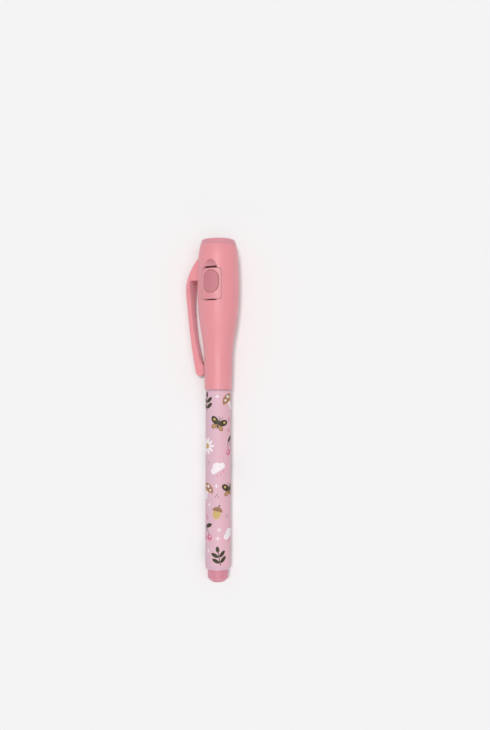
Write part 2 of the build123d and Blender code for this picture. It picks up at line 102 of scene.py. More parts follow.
class Ink(Enum):
    """Colours of the barrel's print."""

    OLIVE = display(56, 50, 24)
    BROWN = display(168, 124, 92)
    MUSTARD = display(207, 176, 112)
    WHITE = display(247, 238, 243)
    ROSE = display(212, 122, 150)
    LILAC = display(238, 216, 230)


class Motif(Enum):
    """Drawings of the barrel's print, numbered as the cells count them."""

    SPRIG = 0
    DAISY = 1
    TOADSTOOL = 2
    BERRIES = 3
    BUTTERFLY = 4
    CLOUD = 5
    ACORN = 6


class Lay(Enum):
    """Which way the fine marks of a metal run."""

    ALONG = "along the pen"
    ROUND = "round the pen"


class Slot(Enum):
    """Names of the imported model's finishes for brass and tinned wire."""

    BRASS = "leaf_brass"
    WIRE = "tinned_wire"


@dataclass(frozen=True)
class PenAxes:
    """The pen's own directions in the row frame, from the middle of its printed barrel.

    across runs along the door's hinge, inward is the way the button goes, and along points to
    the lamp.
    """

    middle: Vector
    across: Vector
    inward: Vector
    along: Vector
    grip_radius: float
    grip_length: float

    @classmethod
    def from_record(cls, record: Mapping[str, Any]) -> "PenAxes":
        """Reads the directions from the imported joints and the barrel's mount.

        Args:
            record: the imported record.

        Returns:
            The axes, with sizes in metres.
        """
        packed = record["behaviour"]["joints"]
        joints = {joint["name"]: Vector(joint["axis"]) for joint in packed}
        grip = next(mount for mount in record["mounts"] if mount["name"] == "barrel_grip")
        return cls(
            middle=Vector(grip["pos_m"]),
            across=joints["battery_door_hinge"],
            inward=joints["button_press"],
            along=joints["cap_pull"],
            grip_radius=grip["dims"]["r_mm"] * MM,
            grip_length=grip["dims"]["length_mm"] * MM,
        )

    def point(self, across: float, inward: float, along: float) -> Vector:
        """Point of the row frame at these distances from the middle, in metres."""
        return self.middle + self.across * across + self.inward * inward + self.along * along

    def extent(self, node: str) -> tuple[Vector, Vector]:
        """Measures a node along the pen's own directions.

        Args:
            node: name of the node.

        Returns:
            Its lowest and highest corner in metres from the middle.
        """
        here = [vertex.co - self.middle for vertex in frame["nodes"][node].data.vertices]
        ways = (self.across, self.inward, self.along)
        spans = [[place.dot(way) for place in here] for way in ways]
        return Vector([min(span) for span in spans]), Vector([max(span) for span in spans])


class Field:
    """A value that changes over a surface: one node output, with operators as Math nodes."""

    def __init__(self, shade: "Shade", socket: bpy.types.NodeSocket) -> None:
        """Wraps an output socket of the shade's tree."""
        self.shade = shade
        self.socket = socket

    def __add__(self, other: "Term") -> "Field":
        """Sum."""
        return self.shade.math("ADD", self, other)

    def __radd__(self, other: "Term") -> "Field":
        """Sum, the other way round."""
        return self.shade.math("ADD", other, self)

    def __sub__(self, other: "Term") -> "Field":
        """Difference."""
        return self.shade.math("SUBTRACT", self, other)

    def __rsub__(self, other: "Term") -> "Field":
        """Difference, the other way round."""
        return self.shade.math("SUBTRACT", other, self)

    def __mul__(self, other: "Term") -> "Field":
        """Product."""
        return self.shade.math("MULTIPLY", self, other)

    def __rmul__(self, other: "Term") -> "Field":
        """Product, the other way round."""
        return self.shade.math("MULTIPLY", other, self)

    def __truediv__(self, other: "Term") -> "Field":
        """Quotient."""
        return self.shade.math("DIVIDE", self, other)

    def __rtruediv__(self, other: "Term") -> "Field":
        """Quotient, the other way round."""
        return self.shade.math("DIVIDE", other, self)

    def __mod__(self, other: "Term") -> "Field":
        """Remainder that is never below zero."""
        return self.shade.math("FLOORED_MODULO", self, other)

    def __abs__(self) -> "Field":
        """Size without its sign."""
        return self.shade.math("ABSOLUTE", self)

    def __lt__(self, other: "Term") -> "Field":
        """One where this is the smaller, else zero."""
        return self.shade.math("LESS_THAN", self, other)

    def __gt__(self, other: "Term") -> "Field":
        """One where this is the larger, else zero."""
        return self.shade.math("GREATER_THAN", self, other)

    def clip(self) -> "Field":
        """This value held between zero and one."""
        return self.shade.pick("ShaderNodeClamp", {}, {"Value": self})

    def centred(self) -> "Field":
        """This value, which runs from zero to one, less its middle."""
        return self - 0.5


Term = Field | float


class Shade:
    """One node tree, written as expressions on fields."""

    def __init__(self, owner: bpy.types.Material | bpy.types.World) -> None:
        """Empties the owner's tree and takes it over.

        Args:
            owner: the material or world that the tree belongs to.
        """
        owner.use_nodes = True
        self.owner = owner
        self.tree = owner.node_tree
        self.tree.nodes.clear()

    def add(
        self,
        kind: str,
        settings: Mapping[str, Any],
        sockets: Mapping[str | int, Any],
    ) -> bpy.types.Node:
        """Adds one node.

        Args:
            kind: the node's type.
            settings: its properties, which are set first.
            sockets: values or links of its inputs, by name or place.

        Returns:
            The node.
        """
        node = self.tree.nodes.new(kind)
        for name, value in settings.items():
            setattr(node, name, value)
        for key, value in sockets.items():
            if isinstance(value, Field):
                self.tree.links.new(value.socket, node.inputs[key])
            else:
                node.inputs[key].default_value = value
        return node

    def pick(
        self,
        kind: str,
        settings: Mapping[str, Any],
        sockets: Mapping[str | int, Any],
        output: str | int = 0,
    ) -> Field:
        """Adds one node and gives one of its outputs.

        Args:
            kind: the node's type.
            settings: its properties.
            sockets: values or links of its inputs.
            output: name or place of the output.

        Returns:
            The output as a field.
        """
        return Field(self, self.add(kind, settings, sockets).outputs[output])

    def math(self, operation: str, *terms: Term) -> Field:
        """Adds one Math node on these terms."""
        return self.pick("ShaderNodeMath", {"operation": operation}, dict(enumerate(terms)))

    def vector(self, operation: str, sockets: Mapping[str | int, Any], output: int = 0) -> Field:
        """Adds one Vector Math node; output 1 is its single value."""
        return self.pick("ShaderNodeVectorMath", {"operation": operation}, sockets, output)

    def hypot(self, first: Field, second: Field) -> Field:
        """Length of the two sides' diagonal."""
        return self.math("SQRT", first * first + second * second)

    def paint(self, under: Field | Colour, over: Field | Colour, mask: Term) -> Field:
        """Lays one colour over another where the mask is one."""
        settings = {"data_type": "RGBA"}
        return self.pick("ShaderNodeMix", settings, {0: mask, 6: under, 7: over}, 2)

    def place(self) -> Field:
        """Place on the piece in its own coordinates, in metres."""
        return self.pick("ShaderNodeTexCoord", {}, {}, "Object")

    def pen_place(self, axes: PenAxes) -> tuple[Field, Field, Field]:
        """Measures the place on the piece along the pen's own directions.

        Args:
            axes: the pen's axes.

        Returns:
            Millimetres across the pen, inward and along it, from the barrel's middle.
        """
        here = self.vector("SUBTRACT", {0: self.place(), 1: axes.middle})
        across, inward, along = (
            self.vector("DOT_PRODUCT", {0: here, 1: way / MM}, 1)
            for way in (axes.across, axes.inward, axes.along)
        )
        return across, inward, along

    def stretched(self, axes: PenAxes, across_mm: float, along_mm: float) -> Field:
        """Measures the place on the piece in streaks along the pen.

        Args:
            axes: the pen's axes.
            across_mm: how wide a streak is.
            along_mm: how long it is.

        Returns:
            The place, with a streak's width and length as its units.
        """
        across, inward, along = self.pen_place(axes)
        sides = {0: across / across_mm, 1: inward / across_mm, 2: along / along_mm}
        return self.pick("ShaderNodeCombineXYZ", {}, sides)

    def noise(self, place: Field, size: float, detail: float = 2.0) -> Field:
        """Soft noise from zero to one whose lumps have this size in the place's own unit."""
        sockets = {"Vector": place, "Scale": 1 / size, "Detail": detail}
        return self.pick("ShaderNodeTexNoise", {"noise_dimensions": "3D"}, sockets, "Fac")

    def rounded(self, radius_mm: float) -> Field:
        """Normal with every edge eased to this radius."""
        return self.pick("ShaderNodeBevel", {"samples": 6}, {"Radius": radius_mm * MM})

    def edge(self, rounded: Field, gain: float) -> Field:
        """Finds the edges that the eased normal rounds.

        Args:
            rounded: the eased normal.
            gain: how steeply the mask rises.

        Returns:
            One on the edges, zero on plain faces.
        """
        plain = self.pick("ShaderNodeNewGeometry", {}, {}, "Normal")
        likeness = self.vector("DOT_PRODUCT", {0: rounded, 1: plain}, 1)
        return ((1 - likeness) * gain).clip()

    def hollow(self, reach_mm: float, own: bool) -> Field:
        """Finds hollows and corners.

        Args:
            reach_mm: how far away a face still closes a hollow.
            own: whether only the piece's own faces count.

        Returns:
            One deep in hollows, zero on open faces.
        """
        settings = {"samples": 8, "only_local": own}
        sockets = {"Distance": reach_mm * MM}
        return 1 - self.pick("ShaderNodeAmbientOcclusion", settings, sockets, "AO")

    def bump(self, height: Field, depth_mm: float, normal: Field) -> Field:
        """Normal roughened by a height field of this depth."""
        sockets = {"Strength": 1.0, "Distance": depth_mm * MM, "Height": height, "Normal": normal}
        return self.pick("ShaderNodeBump", {}, sockets)

    def surface(
        self,
        fixed: Mapping[str, Any],
        varying: Mapping[str, Field],
    ) -> bpy.types.Material:
        """Ends the tree in one Principled shader.

        Args:
            fixed: socket values that are the same all over.
            varying: fields for the sockets that change over the surface.

        Returns:
            The finished material.
        """
        shader = self.add("ShaderNodeBsdfPrincipled", {}, {**fixed, **varying})
        self.add("ShaderNodeOutputMaterial", {}, {"Surface": Field(self, shader.outputs[0])})
        return self.owner


class Finish:
    """A surface finish."""

    def make(self, name: str, axes: PenAxes) -> bpy.types.Material:
        """Makes the finish as a material of this name."""
        raise NotImplementedError


@dataclass(frozen=True)
class MouldedPlastic(Finish):
    """Injection-moulded plastic with a fine spark-grained skin, a painted highlight on its rounded edges and
    painted shade in its hollows.
    """

    colour: Colour
    deep: Colour
    # pale is the painted highlight colour of rounded edges; shadow is the painted shade colour of hollows and
    # corners.
    pale: Colour
    shadow: Colour
    roughness: float = 0.42
    grain_mm: float = 0.2
    grain_detail: float = 3.0
    grain_depth_mm: float = 0.004
    grain_tone: float = 0.2
    grain_gloss: float = 0.12
    cloud_mm: float = 14.0
    cloud_detail: float = 1.0
    cloud_share: float = 0.5
    edge_mm: float = 0.14
    edge_gain: float = 9.0
    edge_highlight_share: float = 0.35
    edge_gloss: float = 0.06
    hollow_mm: float = 2.2
    hollow_share: float = 0.7
    hollow_own: bool = True
    refraction: float = 1.47
    translucence: float = 0.8
    depth_mm: float = 1.8
    depth_shares: tuple[float, float, float] = (1.0, 0.8, 0.75)
    bloom: float = 0.12
    bloom_tint: Colour = (0.93, 0.88, 1.0, 1.0)

    def make(self, name: str, axes: PenAxes) -> bpy.types.Material:
        """Makes the plastic as a material.

        Args:
            name: the material's name.
            axes: the pen's axes.

        Returns:
            The finished material.
        """
        shade = Shade(bpy.data.materials.new(name))
        place = shade.place()
        grain = shade.noise(place, self.grain_mm * MM, self.grain_detail)
        cloud = shade.noise(place, self.cloud_mm * MM, self.cloud_detail)
        rounded = shade.rounded(self.edge_mm)
        edge = shade.edge(rounded, self.edge_gain)
        hollow = shade.hollow(self.hollow_mm, self.hollow_own)
        patches = (cloud * self.cloud_share + grain.centred() * self.grain_tone).clip()
        colour = shade.paint(self.colour, self.deep, patches)
        # Painted highlight: rounded edges are painted towards the pale colour.
        colour = shade.paint(colour, self.pale, edge * self.edge_highlight_share)
        # Painted shade: hollows and corners are painted towards the shadow colour.
        colour = shade.paint(colour, self.shadow, (hollow * self.hollow_share).clip())
        dullness = self.roughness + grain.centred() * self.grain_gloss
        fixed = {
            "IOR": self.refraction,
            "Sheen Weight": self.bloom,
            "Sheen Tint": self.bloom_tint,
            "Subsurface Weight": self.translucence,
            "Subsurface Radius": self.depth_shares,
            "Subsurface Scale": self.depth_mm * MM,
        }
        varying = {
            "Base Color": self.toned(shade, axes, colour),
            "Roughness": dullness + edge * self.edge_gloss,
            "Normal": shade.bump(grain, self.grain_depth_mm, rounded),
        }
        return shade.surface(fixed, varying)

    def toned(self, shade: Shade, axes: PenAxes, colour: Field) -> Field:
        """The colour with the tones that only some places have; plain pieces have none."""
        return colour


@dataclass(frozen=True)
class SlitPlastic(MouldedPlastic):
    """Plastic with painted shade in the slits at the battery door's ends."""

    slit_shade: Colour = display(126, 34, 44)
    slit_half_mm: float = 2.85
    slit_taper_mm: float = 1.5
    slit_reach_mm: float = 1.2
    slit_depth_mm: float = 0.36
    both_ends: bool = False

    def toned(self, shade: Shade, axes: PenAxes, colour: Field) -> Field:
        """Paints shade on the slits' walls, less towards the slits' tips.

        Args:
            shade: the tree to work in.
            axes: the pen's axes.
            colour: the plain plastic's colour.

        Returns:
            The toned colour.
        """
        across, inward, along = shade.pen_place(axes)
        low, high = (corner / MM for corner in axes.extent("battery_door"))
        depth = -low.y - shade.hypot(across, inward)
        from_middle = (low.z + high.z) / 2 - along
        end = (abs(from_middle) if self.both_ends else from_middle) - (high.z - low.z) / 2
        tapered = ((self.slit_half_mm - abs(across)) / self.slit_taper_mm).clip()
        inside = (depth > self.slit_depth_mm) * tapered
        # Painted shade: the slits' walls are painted in the slit shade colour.
        return shade.paint(colour, self.slit_shade, inside * (abs(end) < self.slit_reach_mm))


@dataclass(frozen=True)
class CapPlastic(SlitPlastic):
    """The cap's plastic, with painted shade in the nail scoop and painted light on the clip's face towards the
    cap.
    """

    slit_shade: Colour = display(205, 92, 104)
    scoop_arch_shade: Colour = display(206, 126, 137)
    scoop_foot_shade: Colour = display(216, 152, 160)
    clip_face_light: Colour = display(255, 194, 202)
    scoop_radius_mm: float = 3.7
    scoop_depth_mm: float = 1.1
    scoop_rise_mm: float = 0.35
    scoop_rim_mm: float = 0.1
    scoop_rims: float = 1.5
    bore_mm: float = 7.2
    bore_gain: float = 2.0
    face_from: float = 0.5
    face_gain: float = 4.0
    both_ends: bool = True

    def toned(self, shade: Shade, axes: PenAxes, colour: Field) -> Field:
        """Paints shade into the slits and the nail scoop, and paints light onto the clip's face towards the cap.

        Args:
            shade: the tree to work in.
            axes: the pen's axes.
            colour: the plain plastic's colour.

        Returns:
            The toned colour.
        """
        colour = super().toned(shade, axes, colour)
        place = shade.pen_place(axes)
        low, high = (corner / MM for corner in axes.extent("battery_door"))
        # Painted shade: the nail scoop is painted darker towards its arch.
        rise = ((place[2] - high.z) / self.scoop_radius_mm).clip()
        scoop_shade = shade.paint(self.scoop_foot_shade, self.scoop_arch_shade, rise)
        top = Vector((0.0, low.y, high.z + self.scoop_rise_mm))
        scoop = self.in_scoop(shade, place, top)
        colour = shade.paint(colour, scoop_shade, scoop * (place[2] > high.z))
        # Painted light: the clip's face towards the cap, which lies in shade, is painted paler.
        return shade.paint(colour, self.clip_face_light, self.below_clip(shade, axes, place))

    def in_scoop(self, shade: Shade, place: Sequence[Field], top: Vector) -> Field:
        """One on the ball that the nail scoop is cut with, zero elsewhere.

        Args:
            shade: the tree to work in.
            place: millimetres across the pen, inward and along it.
            top: the cap's outer surface above the scoop's middle.

        Returns:
            The scoop's mask.
        """
        depth = self.scoop_depth_mm
        ball = (self.scoop_radius_mm ** 2 + depth ** 2) / (2 * depth)
        across, inward, along = place
        flat = shade.hypot(across - top.x, along - top.z)
        reach = shade.hypot(flat, inward - (top.y + depth - ball))
        return (self.scoop_rims - abs(reach - ball) / self.scoop_rim_mm).clip()

    def below_clip(self, shade: Shade, axes: PenAxes, place: Sequence[Field]) -> Field:
        """One on the clip's face towards the cap, zero elsewhere.

        Args:
            shade: the tree to work in.
            axes: the pen's axes.
            place: millimetres across the pen, inward and along it.

        Returns:
            The face's mask.
        """
        out = shade.hypot(place[0], place[1])
        normal = shade.pick("ShaderNodeNewGeometry", {}, {}, "Normal")
        sideways, inward = (
            shade.vector("DOT_PRODUCT", {0: normal, 1: way}, 1)
            for way in (axes.across, axes.inward)
        )
        outward = (sideways * place[0] + inward * place[1]) / out
        turned_in = ((outward + self.face_from) * -self.face_gain).clip()
        return turned_in * ((out - self.bore_mm) * self.bore_gain).clip()


@dataclass(frozen=True)
class PlatedMetal(Finish):
    """Rolled or drawn metal with fine marks that run one way."""

    colour: Colour
    dull: Colour
    lay: Lay
    roughness: float = 0.26
    mark_mm: float = 0.05
    mark_length_mm: float = 4.0
    mark_depth_mm: float = 0.0015
    mark_gloss: float = 0.2
    stain_mm: float = 2.2
    stain_detail: float = 3.0
    stain_gain: float = 1.6
    stain_less: float = 0.5
    stain_gloss: float = 0.08
    edge_mm: float = 0.06
    edge_gain: float = 8.0

    def make(self, name: str, axes: PenAxes) -> bpy.types.Material:
        """Makes the metal as a material.

        Args:
            name: the material's name.
            axes: the pen's axes.

        Returns:
            The finished material.
        """
        shade = Shade(bpy.data.materials.new(name))
        marks = self.marks(shade, axes)
        stain = shade.noise(shade.place(), self.stain_mm * MM, self.stain_detail)
        rounded = shade.rounded(self.edge_mm)
        edge = shade.edge(rounded, self.edge_gain)
        tarnish = (stain * self.stain_gain - self.stain_less).clip() * (1 - edge)
        dullness = self.roughness + marks.centred() * self.mark_gloss
        varying = {
            "Base Color": shade.paint(self.colour, self.dull, tarnish),
            "Roughness": dullness + stain * self.stain_gloss,
            "Normal": shade.bump(marks, self.mark_depth_mm, rounded),
        }
        return shade.surface({"Metallic": 1.0}, varying)

    def marks(self, shade: Shade, axes: PenAxes) -> Field:
        """Lays fine drawn or turned marks over the metal.

        Args:
            shade: the tree to work in.
            axes: the pen's axes.

        Returns:
            The marks' height, from zero to one.
        """
        if self.lay is Lay.ALONG:
            streaks = shade.stretched(axes, self.mark_mm, self.mark_length_mm)
            return shade.noise(streaks, 1.0)
        across, inward, along = shade.pen_place(axes)
        out = shade.hypot(across, inward)
        sides = {0: out / self.mark_mm, 1: along / self.mark_mm, 2: 0.0}
        return shade.noise(shade.pick("ShaderNodeCombineXYZ", {}, sides), 1.0)


@dataclass(frozen=True)
class CellCan(PlatedMetal):
    """A button cell's plated can and lid, with the dark seal ring between them."""

    mark_gloss: float = 0.16
    stain_mm: float = 1.6
    stain_gain: float = 1.5
    stain_less: float = 0.45
    seal: Colour = display(58, 60, 66)
    seal_mm: float = 0.28
    seal_gain: float = 30.0
    seal_gloss: float = 0.3
    lid_mm: float = 3.1

    def make(self, name: str, axes: PenAxes) -> bpy.types.Material:
        """Makes the can as a material.

        Args:
            name: the material's name.
            axes: the pen's axes.

        Returns:
            The finished material.
        """
        shade = Shade(bpy.data.materials.new(name))
        marks = self.marks(shade, axes)
        across, inward, _ = shade.pen_place(axes)
        half = self.seal_mm / 2
        off_seal = abs(shade.hypot(across, inward) - self.lid_mm - half)
        ring = ((half - off_seal) * self.seal_gain + 0.5).clip()
        stain = shade.noise(shade.place(), self.stain_mm * MM, self.stain_detail)
        tarnish = (stain * self.stain_gain - self.stain_less).clip()
        colour = shade.paint(self.colour, self.dull, tarnish)
        dullness = self.roughness + marks.centred() * self.mark_gloss
        varying = {
            "Base Color": shade.paint(colour, self.seal, ring),
            "Metallic": 1 - ring,
            "Roughness": dullness + ring * self.seal_gloss,
            "Normal": shade.bump(marks, self.mark_depth_mm, shade.rounded(self.edge_mm)),
        }
        return shade.surface({}, varying)


@dataclass(frozen=True)
class BondedFibre(Finish):
    """Fibres laid along the pen and bonded, as in a nib or an ink reservoir."""

    colour: Colour
    dark: Colour
    strand_mm: float = 0.07
    strand_length_mm: float = 3.0
    strand_detail: float = 3.0
    strand_tone: float = 1.4
    strand_gloss: float = 0.2
    lump_mm: float = 0.5
    lump_tone: float = 0.4
    tone_less: float = 0.6
    edge_mm: float = 0.08
    depth_mm: float = 0.03
    roughness: float = 0.85
    fuzz: float = 0.15

    def make(self, name: str, axes: PenAxes) -> bpy.types.Material:
        """Makes the fibre as a material.

        Args:
            name: the material's name.
            axes: the pen's axes.

        Returns:
            The finished material.
        """
        shade = Shade(bpy.data.materials.new(name))
        streaks = shade.stretched(axes, self.strand_mm, self.strand_length_mm)
        strands = shade.noise(streaks, 1.0, self.strand_detail)
        lumps = shade.noise(shade.place(), self.lump_mm * MM)
        shaded = (strands * self.strand_tone + lumps * self.lump_tone - self.tone_less).clip()
        varying = {
            "Base Color": shade.paint(self.colour, self.dark, shaded),
            "Roughness": self.roughness + strands.centred() * self.strand_gloss,
            "Normal": shade.bump(strands, self.depth_mm, shade.rounded(self.edge_mm)),
        }
        return shade.surface({"Sheen Weight": self.fuzz}, varying)


@dataclass(frozen=True)
class ClearResin(Finish):
    """Cast clear resin of an LED lens."""

    colour: Colour
    tint: Colour
    roughness: float = 0.04
    flow_mm: float = 1.8
    flow_depth_mm: float = 0.01
    flow_gloss: float = 0.05
    edge_mm: float = 0.05
    clearness: float = 0.92
    refraction: float = 1.52

    def make(self, name: str, axes: PenAxes) -> bpy.types.Material:
        """Makes the resin as a material.

        Args:
            name: the material's name.
            axes: the pen's axes.

        Returns:
            The finished material.
        """
        shade = Shade(bpy.data.materials.new(name))
        flow = shade.noise(shade.place(), self.flow_mm * MM)
        fixed = {"Transmission Weight": self.clearness, "IOR": self.refraction}
        varying = {
            "Base Color": shade.paint(self.colour, self.tint, flow),
            "Roughness": self.roughness + flow * self.flow_gloss,
            "Normal": shade.bump(flow, self.flow_depth_mm, shade.rounded(self.edge_mm)),
        }
        return shade.surface(fixed, varying)


@dataclass(frozen=True)
class WrapFilm(Finish):
    """Thin clear film, a little creased."""

    colour: Colour
    haze: Colour
    roughness: float = 0.14
    crease_mm: float = 1.2
    crease_length_mm: float = 6.0
    crease_detail: float = 4.0
    crease_depth_mm: float = 0.03
    crease_gloss: float = 0.12
    edge_mm: float = 0.05
    clearness: float = 0.6
    refraction: float = 1.5

    def make(self, name: str, axes: PenAxes) -> bpy.types.Material:
        """Makes the film as a material.

        Args:
            name: the material's name.
            axes: the pen's axes.

        Returns:
            The finished material.
        """
        shade = Shade(bpy.data.materials.new(name))
        streaks = shade.stretched(axes, self.crease_mm, self.crease_length_mm)
        crease = shade.noise(streaks, 1.0, self.crease_detail)
        fixed = {"Transmission Weight": self.clearness, "IOR": self.refraction}
        varying = {
            "Base Color": shade.paint(self.colour, self.haze, crease),
            "Roughness": self.roughness + crease * self.crease_gloss,
            "Normal": shade.bump(crease, self.crease_depth_mm, shade.rounded(self.edge_mm)),
        }
        return shade.surface(fixed, varying)


Layers = list[tuple[Field, Ink]]


@dataclass(frozen=True)
class Drawing:
    """A flat drawing in millimetres, made of distances that are negative inside a shape."""

    shade: Shade
    x: Field
    y: Field
    softness: float = 0.07

    def moved(self, x: float, y: float) -> "Drawing":
        """The drawing with its middle moved here."""
        return Drawing(self.shade, self.x - x, self.y - y)

    def turned(self, degrees: float) -> "Drawing":
        """The drawing turned anticlockwise."""
        cosine, sine = math.cos(math.radians(degrees)), math.sin(math.radians(degrees))
        return Drawing(self.shade, self.x * cosine + self.y * sine, self.y * cosine - self.x * sine)

    def spun(self, angle: Field) -> "Drawing":
        """The drawing turned by an angle that differs from cell to cell."""
        cosine, sine = self.shade.math("COSINE", angle), self.shade.math("SINE", angle)
        return Drawing(self.shade, self.x * cosine + self.y * sine, self.y * cosine - self.x * sine)

    def enlarged(self, scale: float) -> "Drawing":
        """The drawing this many times as large."""
        return Drawing(self.shade, self.x / scale, self.y / scale)

    def mirrored(self) -> "Drawing":
        """The drawing with its right half on both sides."""
        return Drawing(self.shade, abs(self.x), self.y)

    def fanned(self, count: int) -> "Drawing":
        """Repeats the drawing round its middle, each time along the x axis.

        Args:
            count: how often.

        Returns:
            The repeated drawing.
        """
        step = 2 * math.pi / count
        angle = (self.shade.math("ARCTAN2", self.y, self.x) + step / 2) % step - step / 2
        reach = self.shade.hypot(self.x, self.y)
        cosine, sine = self.shade.math("COSINE", angle), self.shade.math("SINE", angle)
        return Drawing(self.shade, reach * cosine, reach * sine)

    def disc(self, x: float, y: float, radius: float) -> Field:
        """Distance to a disc."""
        return self.shade.hypot(self.x - x, self.y - y) - radius

    def oval(
        self, x: float, y: float, half_width: float, half_height: float, turn: float = 0.0,
    ) -> Field:
        """Measures the distance to an oval, which is close enough near its edge.

        Args:
            x: its middle, to the right.
            y: its middle, upwards.
            half_width: half its width.
            half_height: half its height.
            turn: degrees that it is turned anticlockwise.

        Returns:
            The distance.
        """
        here = self.moved(x, y).turned(turn) if turn else self.moved(x, y)
        reach = self.shade.hypot(here.x / half_width, here.y / half_height)
        return (reach - 1) * min(half_width, half_height)

    def stroke(self, x0: float, y0: float, x1: float, y1: float, width: float) -> Field:
        """Measures the distance to a straight stroke with round ends.

        Args:
            x0: its start, to the right.
            y0: its start, upwards.
            x1: its end, to the right.
            y1: its end, upwards.
            width: how broad it is.

        Returns:
            The distance.
        """
        dx, dy = x1 - x0, y1 - y0
        share = (((self.x - x0) * dx + (self.y - y0) * dy) / (dx * dx + dy * dy)).clip()
        return self.shade.hypot(self.x - x0 - share * dx, self.y - y0 - share * dy) - width / 2

    def join(self, *distances: Field) -> Field:
        """Joins shapes.

        Args:
            distances: the distance to each shape.

        Returns:
            The distance to all of them together.
        """
        joined = distances[0]
        for other in distances[1:]:
            joined = self.shade.math("MINIMUM", joined, other)
        return joined

    def common(self, first: Field, second: Field) -> Field:
        """Distance to what both shapes cover."""
        return self.shade.math("MAXIMUM", first, second)

    def fill(self, distance: Field) -> Field:
        """One inside a shape, zero outside, with a soft edge."""
        return (0.5 - distance / self.softness).clip()


